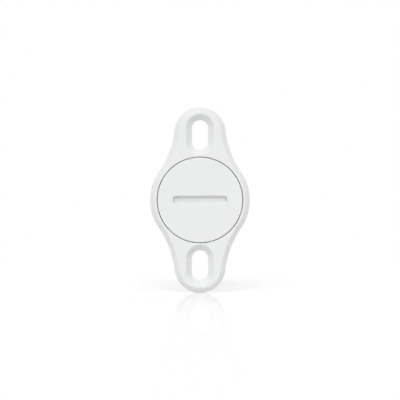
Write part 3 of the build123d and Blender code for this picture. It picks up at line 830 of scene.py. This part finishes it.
def track_distance(name):
    """How far a place is outside a straight track, below 0 on the track."""
    tree, given, out = open_group(
        name,
        [("Place", "v", (0, 0, 0)), ("Start", "v", (0, 0, 0)), ("Way", "v", (1, 0, 0)),
         ("Half width", "f", 0.1 * MM)],
        [("Distance", "f")])
    way = given["Way"]
    from_start = vector_calc(tree, "SUBTRACT", given["Place"], given["Start"])
    along = calc(tree, "DIVIDE", vector_calc(tree, "DOT_PRODUCT", from_start, way),
                 vector_calc(tree, "DOT_PRODUCT", way, way))
    along = calc(tree, "MINIMUM", calc(tree, "MAXIMUM", along, 0.0), 1.0)
    nearest = scaled(tree, way, along)
    off = vector_calc(tree, "LENGTH", vector_calc(tree, "SUBTRACT", from_start, nearest))
    join(tree, calc(tree, "SUBTRACT", off, given["Half width"]), out["Distance"])
    return tree


def track_distances(tree, place, tracks):
    """How far a place is outside the nearest of many tracks."""
    nearest = FAR_AWAY
    for width, corners in tracks:
        for start, end in zip(corners, corners[1:]):
            start, end = Vector((*start, 0)) * MM, Vector((*end, 0)) * MM
            one = group_node(tree, "Track distance", track_distance, {
                "Place": place, "Start": start, "Way": end - start, "Half width": width / 2 * MM})
            nearest = calc(tree, "MINIMUM", one["Distance"], nearest)
    return nearest


def point_distance(tree, place, points):
    """How far a place is from the nearest of many points."""
    nearest = FAR_AWAY
    for point in points:
        one = vector_calc(tree, "DISTANCE", place, Vector((*point, 0)) * MM)
        nearest = calc(tree, "MINIMUM", one, nearest)
    return nearest


def box_distance(tree, x, y, low, high):
    """How far a place is outside a rectangle, below 0 inside it."""
    off = [calc(tree, "SUBTRACT", apart(tree, value, (a + b) / 2), (b - a) / 2)
           for value, a, b in ((x, low[0], high[0]), (y, low[1], high[1]))]
    return largest(tree, *off)


def printed_frame(tree, x, y, box, away_x, away_y):
    """A thin white line printed round a part."""
    off = box_distance(tree, x, y, (box[0].x - away_x, box[0].y - away_y),
                       (box[1].x + away_x, box[1].y + away_y))
    return calc(tree, "LESS_THAN", calc(tree, "ABSOLUTE", off), 0.06 * MM)


class SENSOR_OT_board(bpy.types.Operator):
    """Finish the circuit board: tracks under green lacquer, tinned holes and bare cut edges"""
    bl_idname = "sensor.board"
    bl_label = "Circuit board"
    bl_options = {"REGISTER", "UNDO"}

    def execute(self, context):
        look = context.scene.sensor_board
        board = Finish("Circuit board")
        tree, place = board.tree, board.place
        x, y, _ = position(tree, place)
        flat = vector_calc(tree, "MULTIPLY", place, FACING_Z)
        facing = position(tree, tree.nodes.new("ShaderNodeTexCoord").outputs["Normal"])[2]
        up = calc(tree, "GREATER_THAN", facing, 0.5)
        face = calc(tree, "GREATER_THAN", calc(tree, "ABSOLUTE", facing), 0.5)
        side = calc(tree, "SUBTRACT", 1.0, face)

        # Copper: tracks and pads, and beyond a bare strip the broad areas between them
        hole_r = 0.15 * MM
        from_hole = point_distance(tree, flat, THROUGH_HOLES)
        from_pad = point_distance(tree, flat, TEST_PADS)
        upper = track_distances(tree, flat, UPPER_TRACKS)
        upper = calc(tree, "MINIMUM", upper, calc(tree, "SUBTRACT", from_pad, 0.42 * MM))
        under = track_distances(tree, flat, LOWER_TRACKS)
        off = blend_values(tree, up, under, upper)
        off = calc(tree, "MINIMUM", off, calc(tree, "SUBTRACT", from_hole, 2 * hole_r))
        on_track = ramp(tree, off, -0.02 * MM, 0.02 * MM, 1.0, 0.0)
        beyond = ramp(tree, off, look.clear, look.clear + 0.04 * MM)
        edge = calc(tree, "MULTIPLY", box_distance(tree, x, y, BOARD[0], BOARD[1]), -1)
        window = box_distance(tree, x, y, REED[0], REED[1])
        inside = calc(tree, "MINIMUM", ramp(tree, edge, 0.3 * MM, 0.34 * MM),
                      ramp(tree, window, 0.4 * MM, 0.44 * MM))
        copper = largest(tree, on_track, product(tree, beyond, inside))

        # Lacquer over glass cloth, with the print on it
        turns = 2 * math.pi / (0.42 * MM)
        warp = calc(tree, "SINE", product(tree, x, turns))
        weft = calc(tree, "SINE", product(tree, y, turns))
        weave = product(tree, warp, weft)
        cloud = noise(tree, place, 3 * MM)
        mask = Vector(look.mask)
        lacquer = blend_colours(tree, copper, (*(mask * 0.55), 1), (*(mask * 1.3), 1))
        woven = ramp(tree, calc(tree, "MULTIPLY_ADD", weave, 0.25, cloud), 0.0, 1.0, 0.9, 1.1)
        lacquer = scaled(tree, lacquer, woven)
        printed = printed_frame(tree, x, y, CHIP, 0.38 * MM, 0.38 * MM)
        for box, away_x, away_y in (
                (CRYSTAL, 0.2 * MM, 0.2 * MM), (REGULATOR, 0.2 * MM, 0.75 * MM)):
            printed = largest(tree, printed, printed_frame(tree, x, y, box, away_x, away_y))
        printed = product(tree, printed, up)
        lacquer = blend_colours(tree, printed, lacquer, (0.74, 0.74, 0.7, 1))

        # The cut edge, the tinned rings and pads, and the holes, whose near black is painted shade
        # for their depth
        layers = noise(tree, vector_calc(tree, "MULTIPLY", place, (0.2, 0.2, 1)), 0.12 * MM)
        cut = blend_colours(
            tree, ramp(tree, layers, 0.35, 0.65), (0.36, 0.38, 0.2, 1), (0.52, 0.52, 0.34, 1))
        ring = calc(tree, "LESS_THAN", from_hole, 1.8 * hole_r)
        pads = product(tree, calc(tree, "LESS_THAN", from_pad, 0.4 * MM), up)
        tinned = product(tree, largest(tree, ring, pads), face)
        # Painted shade: the middle of each hole is coloured near black to stand for the shade
        # inside it
        shaded_holes = product(tree, calc(tree, "LESS_THAN", from_hole, 0.85 * hole_r), face)
        colour = blend_colours(tree, side, lacquer, cut)
        colour = blend_colours(tree, tinned, colour, (*look.tin, 1))
        board.set(Base_Color=blend_colours(tree, shaded_holes, colour, (0.02, 0.02, 0.018, 1)))
        bare = calc(tree, "SUBTRACT", tinned, shaded_holes)
        board.set(Metallic=largest(tree, bare, 0.0))
        rough = ramp(tree, cloud, *NOISE_SPAN, 0.28, 0.4)
        board.set(Roughness=calc(tree, "MULTIPLY_ADD", side, 0.4, rough))
        height = calc(tree, "MULTIPLY_ADD", copper, 0.02, product(tree, weave, 0.001))
        board.bump(calc(tree, "MULTIPLY_ADD", shaded_holes, -0.1, height), MM)
        dress(board, "main_board")
        return {"FINISHED"}


class SENSOR_OT_reed_switch(bpy.types.Operator):
    """Finish the magnetic switch: a tinted glass tube with two plated blades"""
    bl_idname = "sensor.reed_switch"
    bl_label = "Magnetic switch"
    bl_options = {"REGISTER", "UNDO"}

    def execute(self, context):
        glass = Finish("Switch glass")
        tree = glass.tree
        drift = noise(tree, vector_calc(tree, "MULTIPLY", glass.place, (1, 0.3, 1)), 0.9 * MM)
        tint = blend_colours(tree, drift, (0.8, 0.92, 0.84, 1), (0.88, 0.96, 0.9, 1))
        glass.set(Base_Color=tint, Roughness=ramp(tree, drift, *NOISE_SPAN, 0.0, 0.03),
                  Transmission_Weight=0.92, IOR=1.48)
        glass.bump(drift, 0.0002 * MM)
        dress(glass, "reed_glass")
        dress(metal("Plated blades", (0.52, 0.5, 0.45), roughness=0.26, tarnish=0.12,
                    streak=0.12 * MM, stretch=(1, 0.04, 1), depth=0.0004 * MM), "reed_blades")
        return {"FINISHED"}


def moulded_resin(name, colour, box, inset, radius):
    """Moulded resin with a polished dimple beside the first leg."""
    def dimple(tree, place):
        """The mask of the dimple."""
        top = calc(tree, "GREATER_THAN", position(tree, place)[2], box[1].z - 0.05 * MM)
        centre = (box[0].x + inset, box[0].y + inset, 0)
        return product(tree, mark(tree, place, centre, radius, 0.06 * MM, FACING_Z), top)

    finish = plastic(
        name, colour, roughness=0.55, shade=0.35, gloss=0.16, grain=0.05 * MM, cloud=1.2 * MM,
        depth=0.006 * MM, relief=lambda tree, place: product(tree, dimple(tree, place), -0.06))
    spot = dimple(finish.tree, finish.place)
    finish.recolour(spot, (0.085, 0.085, 0.085, 1))
    polished = calc(finish.tree, "MULTIPLY_ADD", spot, -0.3, finish.so_far("Roughness"))
    finish.set(Roughness=polished)
    return finish


def pierced_tin(look):
    """Tin plate with rows of small round holes, painted near black as the shade inside them."""
    finish = Finish("Tin shield")
    tree, place = finish.tree, finish.place
    plate = group_node(tree, "Worked metal", worked_metal, {
        "Place": place, "Colour": (*look.tin, 1), "Tarnish": 0.18, "Roughness": 0.3,
        "Streak size": 0.06 * MM, "Stretch": (0.07, 1, 1)})
    centre = (SHIELD[0] + SHIELD[1]) / 2
    pitch, rim = 1.05 * MM, 0.9 * MM
    from_centre = vector_calc(tree, "SUBTRACT", place, tuple(centre))
    grid = vector_calc(tree, "DIVIDE", from_centre, (pitch, pitch, 1))
    cell = vector_calc(tree, "FRACTION", vector_calc(tree, "ADD", grid, (0.5, 0.5, 0)))
    cell = vector_calc(tree, "SUBTRACT", cell, (0.5, 0.5, 0))
    far = vector_calc(tree, "LENGTH", vector_calc(tree, "MULTIPLY", cell, (pitch, pitch, 0)))
    shaded_hole = ramp(tree, far, 0.2 * MM, 0.24 * MM, 1.0, 0.0)
    x, y, z = position(tree, from_centre)
    for across, half in ((x, SHIELD[1].x - centre.x), (y, SHIELD[1].y - centre.y)):
        within = calc(tree, "LESS_THAN", calc(tree, "ABSOLUTE", across), half - rim)
        shaded_hole = product(tree, shaded_hole, within)
    top = calc(tree, "GREATER_THAN", z, (SHIELD[1].z - SHIELD[0].z) * 0.45)
    shaded_hole = product(tree, shaded_hole, top)
    # Painted shade: each hole is coloured near black and not metal, standing for the shade inside
    # it
    finish.set(Base_Color=blend_colours(tree, shaded_hole, plate["Colour"], (0.015, 0.015, 0.015, 1)),
               Metallic=calc(tree, "SUBTRACT", 1.0, shaded_hole), Roughness=plate["Roughness"])
    finish.bump(calc(tree, "MULTIPLY_ADD", shaded_hole, -0.1, product(tree, plate["Height"], 0.002)), MM)
    return finish


class SENSOR_OT_chips(bpy.types.Operator):
    """Finish the controller, the radio's tin shield, the clock crystal and the regulator"""
    bl_idname = "sensor.chips"
    bl_label = "Chips"
    bl_options = {"REGISTER", "UNDO"}

    def execute(self, context):
        look = context.scene.sensor_board
        dress(moulded_resin("Moulded resin, controller", look.resin, CHIP, 0.75 * MM, 0.3 * MM),
              "controller_chip")
        dress(moulded_resin("Moulded resin, regulator", look.resin, REGULATOR, 0.38 * MM,
                            0.17 * MM), "voltage_regulator")
        dress(pierced_tin(look), "radio_shield")
        dress(plastic("Fired ceramic", (0.045, 0.045, 0.05), roughness=0.42, shade=0.3, gloss=0.12,
                      grain=0.04 * MM, cloud=0.6 * MM, depth=0.003 * MM), "crystal")
        return {"FINISHED"}


def sleeved_can():
    """A can in a dark sleeve: bare end with a scored cross painted dark as shade in its grooves,
    black rubber bung, tinned leads.
    """
    finish = plastic(
        "Sleeved can", (0.05, 0.06, 0.12), roughness=0.3, shade=0.15, gloss=0.1,
        grain=0.25 * MM, cloud=3 * MM, depth=0.004 * MM)
    tree, place = finish.tree, finish.place
    leads, score_half = 0.6 * MM, 0.09 * MM
    body_y = STORAGE[0].y + leads
    radius = STORAGE[1].x
    axis_z = STORAGE[0].z + radius
    x, y, z = position(tree, place)
    from_axis = vector_calc(tree, "SUBTRACT", place, (0, 0, axis_z))
    far = vector_calc(tree, "LENGTH", vector_calc(tree, "MULTIPLY", from_axis, FACING_Y))
    off_z = apart(tree, z, axis_z)
    stripe = product(tree, calc(tree, "LESS_THAN", x, -0.72 * radius),
                     calc(tree, "LESS_THAN", off_z, 0.9 * MM))
    finish.recolour(stripe, (0.46, 0.48, 0.52, 1))
    inner = calc(tree, "LESS_THAN", far, radius - 0.55 * MM)
    bare = product(tree, inner, calc(tree, "GREATER_THAN", y, STORAGE[1].y - 0.1 * MM))
    bung = product(tree, inner, calc(tree, "LESS_THAN", y, body_y + 0.05 * MM))
    lead = calc(tree, "LESS_THAN", y, body_y - 0.02 * MM)
    finish.recolour(bung, (0.03, 0.03, 0.03, 1))
    score_x = calc(tree, "LESS_THAN", calc(tree, "ABSOLUTE", x), score_half)
    score_z = calc(tree, "LESS_THAN", off_z, score_half)
    shaded_score = product(tree, largest(tree, score_x, score_z), bare)
    metal_part = largest(tree, bare, lead)
    along = vector_calc(tree, "MULTIPLY", place, (1, 1, 0.05))
    brushed = noise(tree, along, 0.06 * MM, detail=3.0)
    bright = blend_colours(
        tree, ramp(tree, brushed, *NOISE_SPAN), (0.5, 0.5, 0.5, 1), (0.64, 0.64, 0.63, 1))
    finish.recolour(metal_part, bright)
    # Painted shade: the scored cross is coloured darker to stand for the shade in its grooves
    finish.recolour(shaded_score, (0.22, 0.22, 0.22, 1))
    finish.set(Metallic=metal_part)
    return finish


class SENSOR_OT_small_parts(bpy.types.Operator):
    """Finish the button, the status light, the aerial and the small parts of the board"""
    bl_idname = "sensor.small_parts"
    bl_label = "Small parts"
    bl_options = {"REGISTER", "UNDO"}

    def execute(self, context):
        dress(plastic("Glass filled black", (0.035, 0.035, 0.04), roughness=0.48, shade=0.3,
                      gloss=0.2, grain=0.06 * MM, cloud=0.8 * MM, depth=0.006 * MM),
              "switch_housing")
        dress(plastic("Red nylon", (0.52, 0.1, 0.07), roughness=0.42, shade=0.08, gloss=0.12,
                      grain=0.08 * MM, cloud=0.9 * MM, depth=0.003 * MM), "switch_plunger")
        lens = plastic("Cloudy epoxy", (0.83, 0.81, 0.74), roughness=0.22, shade=0.1, gloss=0.08,
                       grain=0.1 * MM, cloud=0.5 * MM, depth=0.002 * MM)
        lens.set(Transmission_Weight=0.45)
        dress(lens, "status_led")
        dress(metal("Bare copper wire", (0.71, 0.4, 0.25), roughness=0.27, tarnish=0.5,
                    tarnish_colour=(0.33, 0.16, 0.09), streak=0.03 * MM, depth=0.003 * MM),
              "antenna_wire")
        dress(plastic("Fired tan ceramic", (0.5, 0.36, 0.23), roughness=0.5, shade=0.16, gloss=0.12,
                      grain=0.04 * MM, cloud=0.7 * MM, depth=0.004 * MM), "chip_capacitors")
        dress(plastic("Glazed black film", (0.03, 0.03, 0.035), roughness=0.3, shade=0.25,
                      gloss=0.14, grain=0.05 * MM, cloud=0.5 * MM, depth=0.003 * MM),
              "chip_resistors")
        dress(sleeved_can(), "storage_capacitor")
        return {"FINISHED"}


def tin(name, look):
    """The dull tin of solder, pads and legs."""
    return metal(name, look.tin, roughness=0.24, tarnish=0.3, tarnish_colour=(0.45, 0.44, 0.42),
                 streak=0.08 * MM, depth=0.004 * MM)


class SENSOR_OT_solder_joints(bpy.types.Operator):
    """Solder the switch, the aerial, the storage capacitor and both contacts to the board"""
    bl_idname = "sensor.solder_joints"
    bl_label = "Solder joints"
    bl_options = {"REGISTER", "UNDO"}

    def execute(self, context):
        look = context.scene.sensor_board
        top, under = BOARD[1].z, BOARD[0].z
        neck = 0.3 * MM
        blade_y = (REED[0].y + BLADES[0].y) / 2 - 0.28 * MM
        far_blade_y = REED[0].y + REED[1].y - blade_y
        above = solder_joint("joints_above", look.joint * 0.92, 0.58 * MM, neck)
        above = copies(above, [(0, blade_y, top), (0, far_blade_y, top)])
        below = turned(solder_joint("joints_below", look.joint, 0.5 * MM, neck), 180, "X")
        lead_x, lead_y = 1.25 * MM, STORAGE[0].y + 0.25 * MM
        # The aerial is part of a ring about the axis; its joint is where it meets the board
        aerial_r = -AERIAL[0].x - 0.3 * MM
        aerial_x = -math.sqrt(aerial_r ** 2 - under ** 2)
        below = copies(below, [(lead_x, lead_y, under), (-lead_x, lead_y, under),
                               (aerial_x, middle(AERIAL, "y"), under)])
        tab = solder_wedge("joint_tab", 2.8 * MM, 0.4 * MM, 0.35 * MM)
        tab = moved(turned(tab, 180, "X"), (0, TAB[0].y, under))
        foot = solder_wedge("joint_foot", 2.1 * MM, 0.18 * MM, 0.16 * MM)
        foot = moved(foot, (0, LEAF[1].y, top))
        close_up(fuse("solder_joints", [above, below, tab, foot]), tin("Solder", look),
                 "housing", angle=50)
        return {"FINISHED"}


def chip_part_places():
    """Middles of the small chip parts on the board's upper face."""
    top = BOARD[1].z
    half = CHIP_PART / 2
    resistor_x, capacitor_x = RESISTORS[1].x - half.x, CAPACITORS[1].x - half.x
    rows = ((resistor_x, RESISTORS), (-resistor_x, RESISTORS), (capacitor_x, CAPACITORS))
    places = [(x, box[0].y + half.y + n * ROW_PITCH, top) for x, box in rows for n in range(3)]
    return places + [(-capacitor_x, CRYSTAL[1].y + 0.7 * MM + half.y, top)]


class SENSOR_OT_chip_ends(bpy.types.Operator):
    """Add the tinned ends of the small chip parts, with their solder"""
    bl_idname = "sensor.chip_ends"
    bl_label = "Ends of the chip parts"
    bl_options = {"REGISTER", "UNDO"}

    def execute(self, context):
        look = context.scene.sensor_board
        skin = 0.012 * MM
        half = CHIP_PART / 2
        end = shaped_box("chip_ends", (-half.x - skin, half.y - 0.32 * MM, 0),
                         (half.x + skin, half.y + skin, CHIP_PART.z + skin), 0.03 * MM)
        solder = solder_wedge("chip_solder", CHIP_PART.x * 0.94, CHIP_PART.z * 0.8, 0.28 * MM)
        solder = moved(solder, (0, half.y + skin, 0))
        one_end = fuse("chip_end", [end, solder])
        pair = fuse("chip_ends", [one_end, turned(copy_of(one_end), 180)])
        close_up(copies(pair, chip_part_places()), tin("Tinned ends", look),
                 "housing", angle=40)
        return {"FINISHED"}


class SENSOR_OT_controller_pads(bpy.types.Operator):
    """Add the rows of tinned pads around the controller"""
    bl_idname = "sensor.controller_pads"
    bl_label = "Controller pads"
    bl_options = {"REGISTER", "UNDO"}

    def execute(self, context):
        look = context.scene.sensor_board
        side = (CHIP[1].x - CHIP[0].x) / 2
        pitch, count = 0.5 * MM, 8
        pad = solder_wedge("controller_pads", 0.26 * MM, 0.2 * MM, 0.2 * MM)
        row = copies(pad, [((n - (count - 1) / 2) * pitch, side, 0) for n in range(count)])
        rows = [row] + [turned(copy_of(row), quarter) for quarter in (90, 180, 270)]
        pads = moved(fuse("controller_pads", rows), (0, middle(CHIP, "y"), BOARD[1].z))
        close_up(pads, tin("Tinned pads", look), "housing", angle=40)
        return {"FINISHED"}


class SENSOR_OT_regulator_legs(bpy.types.Operator):
    """Add the bent legs of the voltage regulator"""
    bl_idname = "sensor.regulator_legs"
    bl_label = "Regulator legs"
    bl_options = {"REGISTER", "UNDO"}

    def execute(self, context):
        look = context.scene.sensor_board
        top = BOARD[1].z
        thick, pitch = 0.13 * MM, 0.95 * MM
        low = thick / 2 + 0.01 * MM
        points = [(-0.05 * MM, 0.5 * MM), (0.14 * MM, 0.5 * MM), (0.2 * MM, 0.44 * MM),
                  (0.28 * MM, low + 0.06 * MM), (0.35 * MM, low), (0.6 * MM, low)]
        leg = bent_leg("regulator_legs", 0.4 * MM, thick, points)
        back = copies(copy_of(leg), [(x, 0, 0) for x in (-pitch, pitch)])
        front = turned(copies(leg, [(x, 0, 0) for x in (-pitch, 0, pitch)]), 180)
        back = moved(back, (0, REGULATOR[1].y, top))
        front = moved(front, (0, REGULATOR[0].y, top))
        close_up(fuse("regulator_legs", [back, front]), tin("Tinned legs", look),
                 "housing", angle=40)
        return {"FINISHED"}


class SENSOR_OT_crystal_lid(bpy.types.Operator):
    """Add the metal lid on the clock crystal"""
    bl_idname = "sensor.crystal_lid"
    bl_label = "Crystal lid"
    bl_options = {"REGISTER", "UNDO"}

    def execute(self, context):
        rim = Vector((0.13 * MM, 0.13 * MM, 0))
        low, high = CRYSTAL[0] + rim, CRYSTAL[1] - rim
        low.z, high.z = CRYSTAL[1].z - 0.02 * MM, CRYSTAL[1].z + 0.05 * MM
        lid = shaped_box("crystal_lid", low, high, 0.02 * MM)
        plated = metal("Crystal lid", (0.64, 0.6, 0.5), roughness=0.3, tarnish=0.15,
                       streak=0.04 * MM, stretch=(1, 0.1, 1))
        close_up(lid, plated, "housing", angle=40)
        return {"FINISHED"}


# Ways from the object to the two lamps
KEY_WAY = (-0.076, -0.727, 0.682)
REAR_WAY = (0.12, 0.88, 0.45)
# How far out on the table the mirror image thins, and how far out the table turns plain white
MIRROR_FADE = (40 * MM, 140 * MM)
TABLE_FADE = (160 * MM, 300 * MM)
# How far back a way points where the room's light starts to give way, and where it has gone
SKY_FADE = (-0.7, 0.25)
TABLE_SIZE = 3.0  # metres
PICTURE_WIDTH = 36.0  # millimetres on the camera's own scale, as its focal length is


def aim(thing, at):
    """Turns a camera or lamp so that it looks at a point."""
    way = Vector(at) - thing.location
    thing.rotation_euler = way.to_track_quat("-Z", "Y").to_euler()


def speckled(tree, speck, shade):
    """A matt white of this brightness, all but even."""
    tone = ramp(tree, speck, *NOISE_SPAN, shade * 0.995, shade * 1.005)
    return add_node(tree, "ShaderNodeBsdfDiffuse", {"Color": tone}).outputs[0]


def glow(tree, strength):
    """Plain white of this brightness, whatever the light."""
    return add_node(tree, "ShaderNodeEmission",
                    {"Color": (1, 1, 1, 1), "Strength": strength}).outputs[0]


def blend_shaders(tree, share, a, b):
    """Shader a where the share is 0, and shader b where it is 1."""
    return add_node(tree, "ShaderNodeMixShader", {0: share, 1: a, 2: b}).outputs[0]


def table_material(look):
    """White table: it takes the object's shadow, and for the camera it fades to plain white."""
    material = bpy.data.materials.new("White table")
    material.use_nodes = True
    tree = material.node_tree
    tree.nodes.clear()
    place = tree.nodes.new("ShaderNodeTexCoord").outputs["Object"]
    path = tree.nodes.new("ShaderNodeLightPath").outputs
    speck = noise(tree, place, 0.4 * MM)
    matt = speckled(tree, speck, look.table)
    shaded = speckled(tree, speck, look.shade)
    seen = add_node(tree, "ShaderNodeAddShader", {0: shaded, 1: glow(tree, look.lift)}).outputs[0]
    mirror = add_node(
        tree, "ShaderNodeBsdfGlossy", {"Color": (1, 1, 1, 1), "Roughness": 0.03}).outputs[0]
    far = vector_calc(tree, "LENGTH", place)
    share = ramp(tree, far, *MIRROR_FADE, look.foot_gloss, look.gloss)
    low_angle = add_node(tree, "ShaderNodeFresnel", {"IOR": 1.45}).outputs[0]
    glossy = blend_shaders(tree, product(tree, share, low_angle), seen, mirror)
    white = glow(tree, 1.0)
    faded = blend_shaders(tree, ramp(tree, far, *TABLE_FADE, smooth=True), glossy, white)
    by_camera = blend_shaders(tree, path["Is Camera Ray"], matt, faded)
    mirrored = largest(tree, path["Is Glossy Ray"], path["Is Transmission Ray"])
    add_node(tree, "ShaderNodeOutputMaterial",
             {"Surface": blend_shaders(tree, mirrored, by_camera, white)})
    return material


def set_sky(look):
    """Soft light from all around, stronger behind the plate; white where it is seen."""
    world = bpy.data.worlds.new("White studio")
    bpy.context.scene.world = world
    world.use_nodes = True
    tree = world.node_tree
    tree.nodes.clear()
    way = tree.nodes.new("ShaderNodeTexCoord").outputs["Generated"]
    back = position(tree, way)[1]
    soft = ramp(tree, back, *SKY_FADE, look.sky_front, look.sky_back, smooth=True)
    path = tree.nodes.new("ShaderNodeLightPath").outputs
    seen = largest(tree, path["Is Camera Ray"], path["Is Glossy Ray"], path["Is Transmission Ray"])
    extra = calc(tree, "SUBTRACT", 1.0, soft)
    strength = calc(tree, "MULTIPLY_ADD", seen, extra, soft)
    sky = add_node(tree, "ShaderNodeBackground", {"Color": (1, 1, 1, 1), "Strength": strength})
    add_node(tree, "ShaderNodeOutputWorld", {"Surface": sky.outputs[0]})


class SENSOR_OT_stage(bpy.types.Operator):
    """Set the white table, the soft light and the camera straight in front of the plate"""
    bl_idname = "sensor.stage"
    bl_label = "Table, light and camera"
    bl_options = {"REGISTER", "UNDO"}

    def execute(self, context):
        look = context.scene.sensor_stage
        deselect()
        bpy.ops.mesh.primitive_plane_add(size=TABLE_SIZE, location=(0, 0, 0))
        table = context.object
        table.name = "table"
        moved(table, (0, 0, PLATE[0].z))
        table.data.materials.append(table_material(look))
        table.select_set(False)

        set_sky(look)
        for name, energy, way in (("key", look.key, KEY_WAY), ("rear", look.rear, REAR_WAY)):
            lamp = bpy.data.lights.new(name, "SUN")
            lamp.energy = energy
            lamp.angle = look.lamp_spread
            light = bpy.data.objects.new(name, lamp)
            light.location = way
            aim(light, (0, 0, 0))
            context.collection.objects.link(light)

        camera_data = bpy.data.cameras.new("front")
        camera_data.lens = look.lens
        camera_data.sensor_width = PICTURE_WIDTH
        camera_data.clip_start = 0.01
        camera = bpy.data.objects.new("front", camera_data)
        away = look.frame_height * look.lens / camera_data.sensor_width
        camera.location = (0, PLATE[0].y - away, 0)
        aim(camera, (0, 0, 0))
        context.collection.objects.link(camera)
        context.scene.camera = camera
        context.scene.view_settings.view_transform = "Standard"
        return {"FINISHED"}


class SENSOR_PT_panel(bpy.types.Panel):
    """Lists the steps that finish the sensor"""
    bl_idname = "SENSOR_PT_panel"
    bl_label = "Entry sensor"
    bl_space_type = "VIEW_3D"
    bl_region_type = "UI"
    bl_category = "Entry Sensor"

    def draw(self, context):
        for title, group, steps in STEPS:
            box = self.layout.box()
            box.label(text=title)
            settings = getattr(context.scene, group)
            for name in settings.bl_rna.properties.keys():
                if name not in ("rna_type", "name"):
                    box.prop(settings, name)
            for step in steps:
                box.operator(step.bl_idname)


# Title in the panel, the settings, and the steps in the order in which they run
STEPS = (
    ("White mouldings and seal", "sensor_shell", (SENSOR_OT_white_mouldings, SENSOR_OT_seal)),
    ("Cell and contacts", "sensor_cell",
     (SENSOR_OT_cell, SENSOR_OT_wrap_lips, SENSOR_OT_contacts)),
    ("Sled and board", "sensor_board",
     (SENSOR_OT_sled, SENSOR_OT_board, SENSOR_OT_reed_switch, SENSOR_OT_chips,
      SENSOR_OT_small_parts, SENSOR_OT_solder_joints, SENSOR_OT_chip_ends,
      SENSOR_OT_controller_pads, SENSOR_OT_regulator_legs, SENSOR_OT_crystal_lid)),
    ("Stage", "sensor_stage", (SENSOR_OT_stage,)),
)

SETTINGS = {
    "sensor_shell": SensorShellSettings,
    "sensor_cell": SensorCellSettings,
    "sensor_board": SensorBoardSettings,
    "sensor_stage": SensorStageSettings,
}


def register():
    """Makes the settings, the steps and the panel known."""
    for group in SETTINGS.values():
        bpy.utils.register_class(group)
    for _, _, steps in STEPS:
        for step in steps:
            bpy.utils.register_class(step)
    bpy.utils.register_class(SENSOR_PT_panel)
    for name, group in SETTINGS.items():
        setattr(bpy.types.Scene, name, bpy.props.PointerProperty(type=group))


def unregister():
    """Takes them away again."""
    for name in SETTINGS:
        delattr(bpy.types.Scene, name)
    bpy.utils.unregister_class(SENSOR_PT_panel)
    for _, _, steps in reversed(STEPS):
        for step in reversed(steps):
            bpy.utils.unregister_class(step)
    for group in reversed(list(SETTINGS.values())):
        bpy.utils.unregister_class(group)


def main():
    """Runs every step in order."""
    register()
    for _, _, steps in STEPS:
        for step in steps:
            area, name = step.bl_idname.split(".")
            getattr(getattr(bpy.ops, area), name)()


if __name__ == "__main__":
    main()
